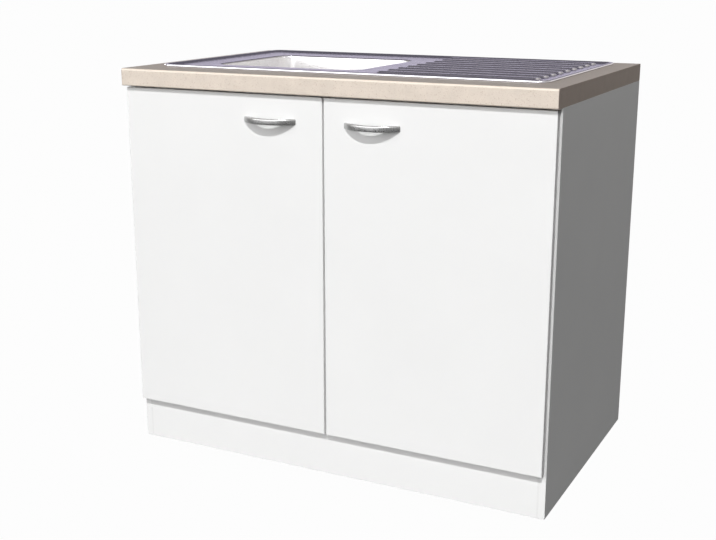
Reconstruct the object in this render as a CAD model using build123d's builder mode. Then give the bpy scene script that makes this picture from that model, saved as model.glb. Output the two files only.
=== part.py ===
from build123d import *

import math
import os

# Kitchen sink base unit: a 1000 mm two-door cabinet with a worktop, a pressed
# stainless sink with a bowl on the left and a ribbed drainer on the right,
# its basket strainer, overflow and bottle trap.
# Millimetres. X to the right, Y to the wall, Z up. The origin is on the floor
# under the middle of the overall box, handles included.

os.makedirs("parts", exist_ok=True)

# ------------------------------------------------------------------ cabinet
worktop_height = 882.0
worktop_thickness = 38.0
worktop_nose_radius = 5.0
end_strip_thickness = 1.0
board = 16.0
plinth_height = 100.0
rail_height = 100.0
front_rail_height = 75.0
front_rail_setback = 3.0

# -------------------------------------------------------------------- doors
door_thickness = 16.0
door_stand_off = 2.6
door_overhang = 11.5
door_side_reveal = 4.0
door_centre_gap = 4.0
door_top_gap = 4.0
door_bottom_height = 101.0
door_edge_radius = 1.5
buffer_radius = 4.0
buffer_sides = 12
buffer_from_free_edge = 14.0
buffer_upper_drop = 22.0

# ------------------------------------------------------------------ handles
handle_length = 126.0
handle_projection = 26.0
handle_height = 13.0
handle_strap = 7.0
handle_foot = 21.0
handle_bevel = 3.0
handle_hole_spacing = 96.0
handle_from_door_top = 54.0
handle_inset_left = 127.0
handle_inset_right = 112.0
handle_screw_radius = 2.0
handle_screw_head_radius = 4.0
handle_screw_head = 2.2
handle_thread_depth = 9.0

# -------------------------------------------------------------------- hinges
hinge_end_distance = 105.0
pin_radius = 1.25
pin_from_edge = 7.8
pin_from_back = 9.5
cup_radius = 17.5
cup_wall = 1.5
cup_from_edge = 3.0
cup_depth = 12.0
cup_floor = 0.8
cup_ear = 2.2
cup_ear_radius = 2.8
cup_ear_root = 0.5
cup_flange = 1.0
cup_flange_radius = 18.4
cup_flange_width = 19.0
cup_flange_length = 62.0
cup_screw_spacing = 48.0
cup_screw_offset = 5.5
cup_screw_radius = 1.75
cup_screw_head_radius = 3.4
cup_screw_head = 1.5
cup_screw_length = 10.0
arm_width = 9.0
arm_sheet = 2.2
arm_knuckle_radius = 2.2
arm_leg_x = 13.0
arm_bend_radius = 3.0
channel_front = 8.0
channel_back = 64.0
channel_half_width = 6.5
channel_wall = 1.5
plate_spine = 6.0
plate_front = 14.0
plate_back = 60.0
plate_width = 14.0
plate_wing = 3.0
plate_wing_length = 46.0
plate_wing_width = 16.0
plate_wing_back = 37.0
plate_screw_spacing = 32.0
plate_screw_radius = 2.0
plate_screw_head_radius = 3.6
plate_screw_head = 1.8
plate_screw_length = 12.0
clamp_screw_radius = 2.5
clamp_screw_head_radius = 4.2
clamp_screw_head = 1.6
clamp_screw_back = 52.0

# ---------------------------------------------------------------------- sink
sheet = 0.8
sink_width = 906.0
sink_depth = 514.0
sink_corner_radius = 22.0
sink_left_margin = 44.0
sink_right_margin = 50.0
sink_front_margin = 87.0
sink_back_margin = 34.0
rim_height = 5.0
rim_crest = 7.0
rim_width = 19.0
rim_bevel = 2.2
flat_lift = 1.0
cutout_inset = 22.0
cutout_corner_radius = 14.0
bowl_width = 361.0
bowl_length = 313.0
bowl_depth = 160.0
bowl_left_ledge = 90.0
bowl_front_ledge = 87.5
bowl_corner_radius = 35.0
bowl_floor_bevel = 15.0
bowl_draft = 3.0
bowl_lip_bevel = 3.0
rib_count = 9
rib_pitch = 50.5
rib_width = 27.0
rib_crest_width = 13.0
rib_corner = 9.0
rib_height = 4.0
rib_field_length = 363.0
rib_right_margin = 30.0
rib_front_margin = 60.0

# ------------------------------------------------------------------ strainer
strainer_hole_radius = 45.0
dish_radius = 61.0
dish_depth = 3.0
strainer_flange_radius = 57.0
strainer_flange = 1.2
strainer_cup_radius = 43.5
strainer_wall = 1.6
strainer_cup_depth = 52.0
cup_mouth = 1.5
strainer_spout_radius = 22.0
strainer_spout_length = 34.0
stub_radius = 12.5
stub_length = 24.0
washer_thickness = 3.0
washer_width = 10.0
ring_nut_height = 12.0
ring_nut_radius = 54.0
ring_nut_lugs = 8
ring_nut_lug = 4.0
ring_nut_lug_width = 6.0
ring_sides = 32
pipe_sides = 20
knob_sides = 16
basket_wall = 0.8
basket_clearance = 0.6
basket_drop = 2.0
basket_draft = 3.0
basket_depth = 36.0
basket_post_radius = 3.0
basket_knob_radius = 9.0
basket_knob_drop = 6.0
basket_knob_height = 5.0
basket_lip = 2.2
basket_slots = 12
basket_slot_length = 17.0
basket_slot_width = 3.0
basket_slot_middle = 24.0
stopper_radius = 25.0
stopper_crown = 12.0
stopper_thickness = 5.0

# ------------------------------------------------------------------ overflow
overflow_drop = 36.0
overflow_hole_radius = 14.0
rose_radius = 19.0
rose_thickness = 2.0
rose_slots = 6
rose_slot_length = 7.0
rose_slot_width = 3.0
rose_slot_middle = 9.5
overflow_pipe_radius = 10.0
overflow_wall = 1.5
socket_flange_radius = 20.0
socket_flange = 3.0
socket_radius = 17.0
socket_length = 28.0
socket_hollow = 22.0
socket_boss_radius = 4.5
socket_spigot_length = 30.0
overflow_screw_radius = 2.0
overflow_screw_head_radius = 4.0
overflow_screw_head = 1.6
overflow_elbow = 22.0
overflow_reach = 15.0
overflow_run_drop = 30.0
overflow_insert = 12.0

# ---------------------------------------------------------------------- trap
pipe_radius = 20.0
pipe_wall = 2.0
inlet_length = 46.0
bottle_radius = 36.0
bottle_height = 112.0
bottle_shoulder = 10.0
bottle_neck = 14.0
bottle_cup_radius = 39.0
bottle_cup_height = 34.0
bottle_cup_taper = 7.0
bottle_outlet_drop = 30.0
bottle_outlet_length = 16.0
outlet_bead = 1.5
outlet_bead_width = 3.0
coupling_radius = 27.0
coupling_height = 22.0
coupling_sides = 12
coupling_lip = 4.0
neck_radius = 23.0

# ----------------------------------------------------------------- fasteners
cam_radius = 7.5
cam_depth = 12.5
cam_from_end = 24.0
cam_sides = 12
cam_slot_length = 10.0
cam_slot_width = 1.6
cam_slot_depth = 1.5
cam_bolt_radius = 3.0
cam_bolt_into_side = 10.0
bolt_from_front = 70.0
bolt_from_back = 90.0
bolt_from_board_edge = 34.0
screw_sides = 8
bracket_leg = 30.0
bracket_width = 20.0
bracket_sheet = 2.0
bracket_from_front = 120.0
bracket_from_back = 150.0
bracket_screw_offset = 18.0
bracket_screw_radius = 2.0
bracket_screw_head_radius = 3.8
bracket_screw_head = 2.0
bracket_screw_length = 12.0
clip_width = 15.0
clip_sheet = 1.5
clip_tab = 12.0
clip_foot = 14.0
clip_drop = 6.0
clip_gap = 2.0
clip_screw_radius = 2.5
clip_screw_out = 8.0
clip_screw_length = 9.0
clip_wing_span = 14.0
clip_wing_height = 7.0
clip_side_spread = 100.0
clip_left_x = -330.0
clip_right_x = 250.0
seal_width = 8.0
seal_inset = 2.5
seal_height = 2.8

# ---------------------------------------------------------------- clearances
fit = 0.05
slip = 0.1
part_gap = 0.3
level_slack = 0.01

# ------------------------------------------------------------- derived places
unit_width = sink_left_margin + sink_width + sink_right_margin
worktop_depth = sink_front_margin + sink_depth + sink_back_margin
half_width = unit_width / 2
handle_overhang = handle_projection - door_overhang
back_y = (worktop_depth + handle_overhang) / 2
worktop_front_y = back_y - worktop_depth
door_face_y = worktop_front_y + door_overhang
door_back_y = door_face_y + door_thickness
carcase_front_y = door_back_y + door_stand_off
carcase_depth = back_y - carcase_front_y
carcase_top = worktop_height - worktop_thickness
inner_half = half_width - board
door_top = carcase_top - door_top_gap
door_height = door_top - door_bottom_height
handle_centre_height = door_top - handle_from_door_top
door_width = half_width - door_side_reveal - door_centre_gap / 2
hinge_heights = [door_bottom_height + hinge_end_distance, door_top - hinge_end_distance]

sink_x = -half_width + sink_left_margin + sink_width / 2
sink_y = worktop_front_y + sink_front_margin + sink_depth / 2
flat_z = worktop_height + flat_lift
bowl_x = sink_x - sink_width / 2 + bowl_left_ledge + bowl_width / 2
bowl_y = sink_y - sink_depth / 2 + bowl_front_ledge + bowl_length / 2
bowl_floor_z = flat_z - bowl_depth
dish_floor_z = bowl_floor_z - dish_depth
bracket_ys = [carcase_front_y + bracket_from_front, back_y - bracket_from_back]
bracket_screw_depth = bracket_screw_length - bracket_sheet + slip
cutout_width = sink_width - 2 * cutout_inset
cutout_depth = sink_depth - 2 * cutout_inset


# =================================================================== helpers
def save(part, name):
    part.label = name
    export_step(part, "parts/" + name + ".step")


def board_block(low, high):
    """A melamine board between two corners."""
    size = [b - a for a, b in zip(low, high)]
    centre = [(a + b) / 2 for a, b in zip(low, high)]
    with BuildPart() as block:
        with Locations(tuple(centre)):
            Box(*size)
    return block.part


def bore_for(radius):
    """The corner radius of a many-sided bore that a screw of that radius clears."""
    return (radius + fit) / math.cos(math.pi / screw_sides)


def screw(length, radius, head_radius, head_height):
    """A screw along +Z with few faces: shank from z = -length to 0, head on top."""
    with BuildPart() as made:
        with BuildSketch(Plane.XY):
            RegularPolygon(radius, screw_sides)
        extrude(amount=-length)
        with BuildSketch(Plane.XY):
            RegularPolygon(head_radius, screw_sides)
        extrude(amount=head_height)
    return made.part


def group(pieces):
    """Several equal pieces that share one node, each its own solid."""
    return Compound(children=list(pieces))


def placed(part, plane):
    return plane.location * part


# ================================================================== carcase
# Every board is joined at its ends: a cam lock in the board draws up a bolt
# that is screwed into the side panel. For each board: the face that the cams
# are set in, and the (y, z) of its bolts.
cabinet_floor_z = plinth_height + board / 2
plinth_y = carcase_front_y + board / 2
front_rail_y = carcase_front_y + front_rail_setback + board / 2
back_rail_y = back_y - board / 2

fixings = {
    "bottom_panel": (
        (0, 0, -1),
        [
            (carcase_front_y + bolt_from_front, cabinet_floor_z),
            (back_y - bolt_from_back, cabinet_floor_z),
        ],
    ),
    "plinth_board": ((0, 1, 0), [(plinth_y, plinth_height - bolt_from_board_edge)]),
    "front_top_rail": ((0, 1, 0), [(front_rail_y, carcase_top - bolt_from_board_edge)]),
    "back_top_rail": ((0, -1, 0), [(back_rail_y, carcase_top - bolt_from_board_edge)]),
    "back_bottom_rail": (
        (0, -1, 0),
        [(back_rail_y, plinth_height + board + rail_height - bolt_from_board_edge)],
    ),
}


def cam_plane(side, y, z, face):
    """Where a cam sits: on the chosen face, at its distance from the end."""
    normal = Vector(*face)
    face_point = Vector(side * (inner_half - cam_from_end), y, z) + normal * (board / 2)
    return Plane(origin=face_point, x_dir=(1, 0, 0), z_dir=normal)


def cross_board(name, low, high):
    """A board between the side panels, bored for its cams and bolts."""
    face, bolts = fixings[name]
    with BuildPart() as made:
        add(board_block(low, high))
        for side in (-1, 1):
            end_plane = Plane(
                origin=(side * inner_half, 0, 0), x_dir=(0, 1, 0), z_dir=(side, 0, 0)
            )
            for y, z in bolts:
                with BuildSketch(cam_plane(side, y, z, face)):
                    RegularPolygon(cam_radius + slip, cam_sides)
                extrude(amount=-(cam_depth + slip), mode=Mode.SUBTRACT)
                with BuildSketch(end_plane):
                    with Locations((y, side * z)):
                        RegularPolygon(bore_for(cam_bolt_radius), screw_sides)
                extrude(amount=-(cam_from_end - cam_radius), mode=Mode.SUBTRACT)
    return made.part


boards = {
    "bottom_panel": (
        (-inner_half, carcase_front_y, plinth_height),
        (inner_half, back_y, plinth_height + board),
    ),
    "plinth_board": (
        (-inner_half, carcase_front_y, 0),
        (inner_half, carcase_front_y + board, plinth_height),
    ),
    "front_top_rail": (
        (-inner_half, front_rail_y - board / 2, carcase_top - front_rail_height),
        (inner_half, front_rail_y + board / 2, carcase_top),
    ),
    "back_top_rail": (
        (-inner_half, back_y - board, carcase_top - rail_height),
        (inner_half, back_y, carcase_top),
    ),
    "back_bottom_rail": (
        (-inner_half, back_y - board, plinth_height + board),
        (inner_half, back_y, plinth_height + board + rail_height),
    ),
}
for board_name, (low_corner, high_corner) in boards.items():
    save(cross_board(board_name, low_corner, high_corner), board_name)


# Side panels: bored for the bolts, the brackets and the hinge plate screws.
def plate_screw_spots():
    spots = []
    for z in hinge_heights:
        for step in (-0.5, 0.5):
            spots.append((carcase_front_y + plate_wing_back, z + step * plate_screw_spacing))
    return spots


for side, side_name in ((-1, "left"), (1, "right")):
    inner_plane = Plane(
        origin=(side * inner_half, 0, 0), x_dir=(0, 1, 0), z_dir=(-side, 0, 0)
    )
    bolt_spots = [spot for _, bolts in fixings.values() for spot in bolts]
    bracket_screw_z = carcase_top - bracket_screw_offset
    borings = [
        (bolt_spots, cam_bolt_radius, cam_bolt_into_side + slip),
        (plate_screw_spots(), plate_screw_radius, plate_screw_length + slip),
        ([(y, bracket_screw_z) for y in bracket_ys], bracket_screw_radius, bracket_screw_depth),
    ]
    with BuildPart() as side_panel:
        add(
            board_block(
                (min(side * inner_half, side * half_width), carcase_front_y, 0),
                (max(side * inner_half, side * half_width), back_y, carcase_top),
            )
        )
        for spots, radius, depth in borings:
            with BuildSketch(inner_plane):
                with Locations(*[(y, -side * z) for y, z in spots]):
                    RegularPolygon(bore_for(radius), screw_sides)
            extrude(amount=-depth, mode=Mode.SUBTRACT)
    save(side_panel.part, "side_panel_" + side_name)


# Cam locks and their bolts, one node for each kind.
def cam_lock():
    """A cam below its face, with a cross slot for the driver."""
    with BuildPart() as cam:
        with BuildSketch(Plane.XY):
            RegularPolygon(cam_radius, cam_sides)
        extrude(amount=-cam_depth)
        with BuildSketch(Plane.XY):
            Rectangle(cam_slot_length, cam_slot_width)
            Rectangle(cam_slot_width, cam_slot_length)
        extrude(amount=-cam_slot_depth, mode=Mode.SUBTRACT)
    return cam.part


def cam_bolt():
    """A bolt along +Z from the side panel to the cam."""
    with BuildPart() as bolt:
        with BuildSketch(Plane.XY.offset(-cam_bolt_into_side)):
            RegularPolygon(cam_bolt_radius, screw_sides)
        extrude(amount=cam_bolt_into_side + cam_from_end - cam_radius - slip)
    return bolt.part


cam_pieces = []
bolt_pieces = []
for side in (-1, 1):
    for face, bolts in fixings.values():
        for y, z in bolts:
            cam_pieces.append(placed(cam_lock(), cam_plane(side, y, z, face)))
            bolt_plane = Plane(
                origin=(side * inner_half, y, z), x_dir=(0, 1, 0), z_dir=(-side, 0, 0)
            )
            bolt_pieces.append(placed(cam_bolt(), bolt_plane))
save(group(cam_pieces), "cam_locks")
save(group(bolt_pieces), "cam_bolts")


# ================================================================== worktop
worktop_half = half_width - end_strip_thickness
worktop_middle_y = worktop_front_y + worktop_depth / 2


def worktop_profile(x_low, x_high):
    """The worktop's section, drawn out along X, with its rounded front nose."""
    with BuildPart() as slab:
        with Locations(((x_low + x_high) / 2, worktop_middle_y, carcase_top)):
            Box(
                x_high - x_low,
                worktop_depth,
                worktop_thickness,
                align=(Align.CENTER, Align.CENTER, Align.MIN),
            )
        front_edges = slab.edges().filter_by(Axis.X).group_by(Axis.Y)[0]
        fillet(front_edges.sort_by(Axis.Z)[-1], worktop_nose_radius)
        front_edges = slab.edges().filter_by(Axis.X).group_by(Axis.Y)[0]
        fillet(front_edges.sort_by(Axis.Z)[0], worktop_nose_radius / 2)
    return slab.part


with BuildPart() as worktop:
    add(worktop_profile(-worktop_half, worktop_half))
    with BuildSketch(Plane.XY.offset(worktop_height)):
        with Locations((sink_x, sink_y)):
            RectangleRounded(cutout_width, cutout_depth, cutout_corner_radius)
    extrude(amount=-worktop_thickness, mode=Mode.SUBTRACT)
    bracket_screw_x = inner_half - bracket_screw_offset
    with BuildSketch(Plane.XY.offset(carcase_top)):
        for y in bracket_ys:
            with Locations((-bracket_screw_x, y), (bracket_screw_x, y)):
                RegularPolygon(bore_for(bracket_screw_radius), screw_sides)
    extrude(amount=bracket_screw_depth, mode=Mode.SUBTRACT)
save(worktop.part, "worktop")
save(worktop_profile(-half_width, -worktop_half), "worktop_end_strip_left")
save(worktop_profile(worktop_half, half_width), "worktop_end_strip_right")

# Angle brackets between the side panels and the underside of the worktop.
bracket_pieces = []
bracket_screw_pieces = []
for side in (-1, 1):
    for y in bracket_ys:
        corner = (side * inner_half, y, carcase_top)
        with BuildPart() as bracket:
            with BuildSketch(Plane(origin=corner, x_dir=(-side, 0, 0), z_dir=(0, side, 0))):
                with BuildLine():
                    Polyline(
                        (0, 0),
                        (bracket_leg, 0),
                        (bracket_leg, -bracket_sheet),
                        (bracket_sheet, -bracket_sheet),
                        (bracket_sheet, -bracket_leg),
                        (0, -bracket_leg),
                        close=True,
                    )
                make_face()
            extrude(amount=bracket_width / 2, both=True)
            with BuildSketch(Plane.XY.offset(carcase_top)):
                with Locations((side * (inner_half - bracket_screw_offset), y)):
                    RegularPolygon(bore_for(bracket_screw_radius), screw_sides)
            extrude(amount=-bracket_sheet, mode=Mode.SUBTRACT)
            with BuildSketch(Plane(origin=corner, x_dir=(0, 1, 0), z_dir=(-side, 0, 0))):
                with Locations((0, side * bracket_screw_offset)):
                    RegularPolygon(bore_for(bracket_screw_radius), screw_sides)
            extrude(amount=bracket_sheet, mode=Mode.SUBTRACT)
        bracket_pieces.append(bracket.part)
save(group(bracket_pieces), "worktop_brackets")

bracket_screw_plan = screw(
    bracket_screw_length,
    bracket_screw_radius,
    bracket_screw_head_radius,
    bracket_screw_head,
)
for side in (-1, 1):
    for y in bracket_ys:
        up = Plane(
            origin=(side * (inner_half - bracket_screw_offset), y, carcase_top - bracket_sheet),
            z_dir=(0, 0, -1),
        )
        into_panel = Plane(
            origin=(side * (inner_half - bracket_sheet), y, carcase_top - bracket_screw_offset),
            z_dir=(-side, 0, 0),
        )
        bracket_screw_pieces.append(placed(bracket_screw_plan, up))
        bracket_screw_pieces.append(placed(bracket_screw_plan, into_panel))
save(group(bracket_screw_pieces), "worktop_bracket_screws")


# ===================================================================== sink
rim_top_z = worktop_height + rim_height
draft_tangent = math.tan(math.radians(bowl_draft))
blank_base_z = dish_floor_z - 10 * sheet
rib_x = sink_x + sink_width / 2 - rib_right_margin - rib_field_length / 2
rib_ys = [
    sink_y - sink_depth / 2 + rib_front_margin + step * rib_pitch for step in range(rib_count)
]


def sink_outline(inset):
    """The sink's outline taken in on every side, as a sketch face."""
    with Locations((sink_x, sink_y)):
        RectangleRounded(
            sink_width - 2 * inset,
            sink_depth - 2 * inset,
            sink_corner_radius - inset,
        )


def bevel(size, inset):
    """The size of a 45 degree bevel once the skin is taken in by inset."""
    return size - (2 - math.sqrt(2)) * inset


def bowl_cavity(inset):
    """The inside of the bowl grown by inset: drafted walls, rounded floor, dish."""
    floor_z = bowl_floor_z - inset
    with BuildPart() as cavity:
        for z in (flat_z - inset, floor_z):
            less = (flat_z - z) * draft_tangent
            with BuildSketch(Plane.XY.offset(z)):
                with Locations((bowl_x, bowl_y)):
                    RectangleRounded(
                        bowl_width + 2 * (inset - less),
                        bowl_length + 2 * (inset - less),
                        bowl_corner_radius + inset - less,
                    )
        loft(ruled=True)
        floor_edges = cavity.faces().sort_by(Axis.Z)[0].edges()
        chamfer(floor_edges, bevel(bowl_floor_bevel, -inset))
        with BuildSketch(Plane.XY.offset(dish_floor_z - inset)):
            with Locations((bowl_x, bowl_y)):
                Circle(dish_radius - dish_depth + inset)
        with BuildSketch(Plane.XY.offset(floor_z)):
            with Locations((bowl_x, bowl_y)):
                Circle(dish_radius + inset)
        loft(ruled=True)
    return cavity.part


def drainer_rib():
    """One raised rib of the drainer about the origin, with sloped flanks."""
    with BuildPart() as rib:
        for z, width in ((0, rib_width), (rib_height, rib_crest_width)):
            with BuildSketch(Plane.XY.offset(z)):
                Rectangle(rib_field_length - rib_width + width, width)
                chamfer(vertices(), rib_corner * width / rib_width)
        loft(ruled=True)
    return rib.part


def rib_hollow():
    """The groove pressed up under one rib."""
    with BuildPart() as hollow:
        for z, width in ((0, rib_width), (rib_height, rib_crest_width)):
            with BuildSketch(Plane.XY.offset(z)):
                Rectangle(rib_field_length - 2 * rib_width + width, width - 2 * sheet)
        loft(ruled=True)
    return hollow.part


def pressing(inset):
    """All that lies under the sink's skin once the skin is taken in by inset."""
    with BuildPart() as under:
        with BuildSketch(Plane.XY.offset(blank_base_z)):
            sink_outline(inset)
        extrude(amount=rim_top_z - inset - blank_base_z)
        chamfer(under.faces().sort_by(Axis.Z)[-1].edges(), bevel(rim_bevel, inset))
        with BuildSketch(Plane.XY.offset(flat_z - inset)):
            sink_outline(rim_width)
        with BuildSketch(Plane.XY.offset(rim_top_z - inset)):
            sink_outline(rim_crest)
        loft(ruled=True, mode=Mode.SUBTRACT)
        add(bowl_cavity(inset), mode=Mode.SUBTRACT)
        lip_edges = under.edges().filter_by(
            lambda edge: abs(edge.center().Z - flat_z + inset) < level_slack
            and abs(edge.center().X - bowl_x) < bowl_width / 2 + 2 * sheet
            and abs(edge.center().Y - bowl_y) < bowl_length / 2 + 2 * sheet
        )
        chamfer(lip_edges, bevel(bowl_lip_bevel, inset))
        with Locations(*[(rib_x, y, flat_z - inset) for y in rib_ys]):
            add(drainer_rib() if inset == 0 else rib_hollow())
    return under.part


overflow_z = flat_z - overflow_drop
overflow_wall_x = bowl_x + bowl_width / 2 - overflow_drop * draft_tangent
overflow_normal = Vector(
    -math.cos(math.radians(bowl_draft)), 0, math.sin(math.radians(bowl_draft))
)
overflow_plane = Plane(
    origin=(overflow_wall_x, bowl_y, overflow_z), x_dir=(0, 1, 0), z_dir=overflow_normal
)

with BuildPart() as sink:
    add(pressing(0))
    add(pressing(sheet), mode=Mode.SUBTRACT)
    skirt_height = worktop_height - blank_base_z
    with BuildSketch(Plane.XY.offset(blank_base_z)):
        sink_outline(-sheet)
        with Locations((bowl_x, bowl_y)):
            Rectangle(bowl_width + 4 * sheet, bowl_length + 4 * sheet, mode=Mode.SUBTRACT)
    extrude(amount=skirt_height, mode=Mode.SUBTRACT)
    with Locations((bowl_x, bowl_y, dish_floor_z)):
        Cylinder(strainer_hole_radius, 4 * dish_depth, mode=Mode.SUBTRACT)
    with BuildSketch(overflow_plane):
        Circle(overflow_hole_radius)
    extrude(amount=4 * sheet, both=True, mode=Mode.SUBTRACT)
save(sink.part, "sink")

# The seal runs round under the rolled edge.
with BuildPart() as sink_seal:
    with BuildSketch(Plane.XY.offset(worktop_height)):
        sink_outline(seal_inset)
        with Locations((sink_x, sink_y)):
            RectangleRounded(
                sink_width - 2 * (seal_inset + seal_width),
                sink_depth - 2 * (seal_inset + seal_width),
                sink_corner_radius - seal_inset - seal_width,
                mode=Mode.SUBTRACT,
            )
    extrude(amount=seal_height)
save(sink_seal.part, "sink_seal")


# Clips hang inside the cut-out and their screws bear on the worktop from below.
def sink_clip():
    """A clip about the cut-out's edge: X points out under the worktop."""
    pad_top = flat_z - sheet
    foot_top = carcase_top - clip_drop
    with BuildPart() as clip:
        with BuildSketch(Plane.XZ):
            with BuildLine():
                Polyline(
                    (-clip_gap - clip_tab, pad_top),
                    (-clip_gap, pad_top),
                    (-clip_gap, foot_top),
                    (clip_foot, foot_top),
                    (clip_foot, foot_top - clip_sheet),
                    (-clip_gap - clip_sheet, foot_top - clip_sheet),
                    (-clip_gap - clip_sheet, pad_top - clip_sheet),
                    (-clip_gap - clip_tab, pad_top - clip_sheet),
                    close=True,
                )
            make_face()
        extrude(amount=clip_width / 2, both=True)
        with BuildSketch(Plane.XY.offset(foot_top)):
            with Locations((clip_screw_out, 0)):
                RegularPolygon(bore_for(clip_screw_radius), screw_sides)
        extrude(amount=-clip_sheet, mode=Mode.SUBTRACT)
    return clip.part


def clip_screw():
    """A thumb screw whose tip bears on the worktop."""
    shank_end = carcase_top - clip_drop - clip_sheet - clip_screw_length
    with BuildPart() as made:
        with BuildSketch(Plane.XY.offset(shank_end)):
            RegularPolygon(clip_screw_radius, screw_sides)
        extrude(amount=carcase_top - shank_end)
        with Locations((0, 0, shank_end)):
            Box(clip_wing_span, clip_sheet, clip_wing_height)
    return made.part


half_cut_x = cutout_width / 2
half_cut_y = cutout_depth / 2
clip_places = []
for step in (-1, 1):
    clip_places.append((sink_x + half_cut_x, sink_y + step * clip_side_spread, 0))
    clip_places.append((sink_x - half_cut_x, sink_y + step * clip_side_spread, 180))
for x in (clip_left_x, clip_right_x):
    clip_places.append((x, sink_y + half_cut_y, 90))
    clip_places.append((x, sink_y - half_cut_y, -90))
clip_pieces = []
clip_screw_pieces = []
for x, y, turn in clip_places:
    spot = Location((x, y, 0), (0, 0, turn))
    clip_pieces.append(spot * sink_clip())
    clip_screw_pieces.append(
        spot * Location((clip_screw_out, 0, 0)) * clip_screw()
    )
save(group(clip_pieces), "sink_clips")
save(group(clip_screw_pieces), "sink_clip_screws")


# ================================================================= strainer
flange_top_z = dish_floor_z + strainer_flange
cup_bore = strainer_cup_radius - strainer_wall
cup_inner_z = flange_top_z - strainer_cup_depth
spout_bore = strainer_spout_radius - strainer_wall
spout_end_z = cup_inner_z - strainer_wall - strainer_spout_length
run_z = dish_floor_z - overflow_run_drop
pipe_bore = overflow_pipe_radius - overflow_wall
stub_end_x = bowl_x + strainer_cup_radius + stub_length


def ring_face(radius):
    """A many-sided face about the waste's axis, its corners on the radius."""
    with Locations((bowl_x, bowl_y)):
        RegularPolygon(radius, ring_sides)


def stacked(levels):
    """A many-sided body about the waste's axis through (radius, z) levels."""
    with BuildPart() as made:
        for (low_radius, low_z), (high_radius, high_z) in zip(levels, levels[1:]):
            with BuildSketch(Plane.XY.offset(low_z)):
                ring_face(low_radius)
            with BuildSketch(Plane.XY.offset(high_z)):
                ring_face(high_radius)
            loft(ruled=True)
    return made.part


cup_low_outer_z = cup_inner_z - strainer_wall
stub_end = Plane(origin=(stub_end_x, bowl_y, run_z), z_dir=(1, 0, 0))
with BuildPart() as strainer_body:
    add(stacked([(strainer_spout_radius, spout_end_z), (strainer_spout_radius, cup_low_outer_z)]))
    add(stacked([(strainer_cup_radius, cup_low_outer_z), (strainer_cup_radius, dish_floor_z)]))
    add(
        stacked(
            [
                (strainer_flange_radius, dish_floor_z),
                (strainer_flange_radius - strainer_flange, flange_top_z),
            ]
        )
    )
    with BuildSketch(stub_end):
        RegularPolygon(stub_radius, pipe_sides)
    extrude(amount=-(stub_length + strainer_wall))
    add(
        stacked(
            [
                (cup_bore, cup_inner_z),
                (cup_bore, flange_top_z - cup_mouth),
                (cup_bore + cup_mouth, flange_top_z),
            ]
        ),
        mode=Mode.SUBTRACT,
    )
    add(stacked([(spout_bore, spout_end_z), (spout_bore, cup_inner_z)]), mode=Mode.SUBTRACT)
    with BuildSketch(stub_end):
        RegularPolygon(overflow_pipe_radius + slip, pipe_sides, major_radius=False)
    extrude(amount=-(overflow_insert + slip), mode=Mode.SUBTRACT)
    with BuildSketch(stub_end):
        RegularPolygon(pipe_bore, pipe_sides)
    extrude(amount=-(stub_length + 3 * strainer_wall), mode=Mode.SUBTRACT)
save(strainer_body.part, "waste_strainer_body")

washer_top_z = dish_floor_z - sheet
with BuildPart() as washer:
    with BuildSketch(Plane.XY.offset(washer_top_z)):
        ring_face(strainer_cup_radius + washer_width)
        with Locations((bowl_x, bowl_y)):
            RegularPolygon(
                strainer_cup_radius + slip,
                ring_sides,
                major_radius=False,
                mode=Mode.SUBTRACT,
            )
    extrude(amount=-washer_thickness)
save(washer.part, "waste_washer")

nut_top_z = washer_top_z - washer_thickness
with BuildPart() as lock_nut:
    with BuildSketch(Plane.XY.offset(nut_top_z)):
        with Locations((bowl_x, bowl_y)):
            RegularPolygon(ring_nut_radius - ring_nut_lug, ring_sides)
            with PolarLocations(ring_nut_radius - ring_nut_lug, ring_nut_lugs):
                Rectangle(2 * ring_nut_lug, ring_nut_lug_width)
            RegularPolygon(
                strainer_cup_radius + slip,
                ring_sides,
                major_radius=False,
                mode=Mode.SUBTRACT,
            )
    extrude(amount=-ring_nut_height)
save(lock_nut.part, "waste_lock_nut")

# The basket stands on its stopper, which closes the spout.
basket_top_z = flange_top_z - basket_drop
basket_floor_z = basket_top_z - basket_depth
basket_rim = cup_bore - basket_clearance
basket_foot = basket_rim - basket_draft
stopper_bottom_z = cup_inner_z + part_gap
stopper_top_z = stopper_bottom_z + stopper_thickness
knob_top_z = basket_top_z - basket_knob_drop
with BuildPart() as basket:
    add(stacked([(basket_foot, basket_floor_z), (basket_rim, basket_top_z)]))
    add(
        stacked(
            [
                (basket_foot - basket_wall, basket_floor_z + basket_wall),
                (basket_rim - basket_lip, basket_top_z),
            ]
        ),
        mode=Mode.SUBTRACT,
    )
    with BuildSketch(Plane.XY.offset(stopper_top_z)):
        with Locations((bowl_x, bowl_y)):
            RegularPolygon(basket_post_radius, knob_sides)
    extrude(amount=knob_top_z - stopper_top_z)
    with BuildSketch(Plane.XY.offset(knob_top_z)):
        with Locations((bowl_x, bowl_y)):
            RegularPolygon(basket_knob_radius, knob_sides)
    extrude(amount=-basket_knob_height)
    with BuildSketch(Plane.XY.offset(basket_floor_z)):
        with Locations((bowl_x, bowl_y)):
            with PolarLocations(basket_slot_middle, basket_slots):
                Rectangle(basket_slot_length, basket_slot_width)
    extrude(amount=basket_wall, mode=Mode.SUBTRACT)
save(basket.part, "strainer_basket")
with BuildPart() as stopper:
    for z, radius in ((stopper_bottom_z, stopper_radius), (stopper_top_z, stopper_crown)):
        with BuildSketch(Plane.XY.offset(z)):
            ring_face(radius)
    loft(ruled=True)
save(stopper.part, "basket_stopper")


# ================================================================= overflow
pipe_x = overflow_wall_x + sheet + overflow_reach
spigot_end_z = overflow_z - socket_spigot_length

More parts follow.
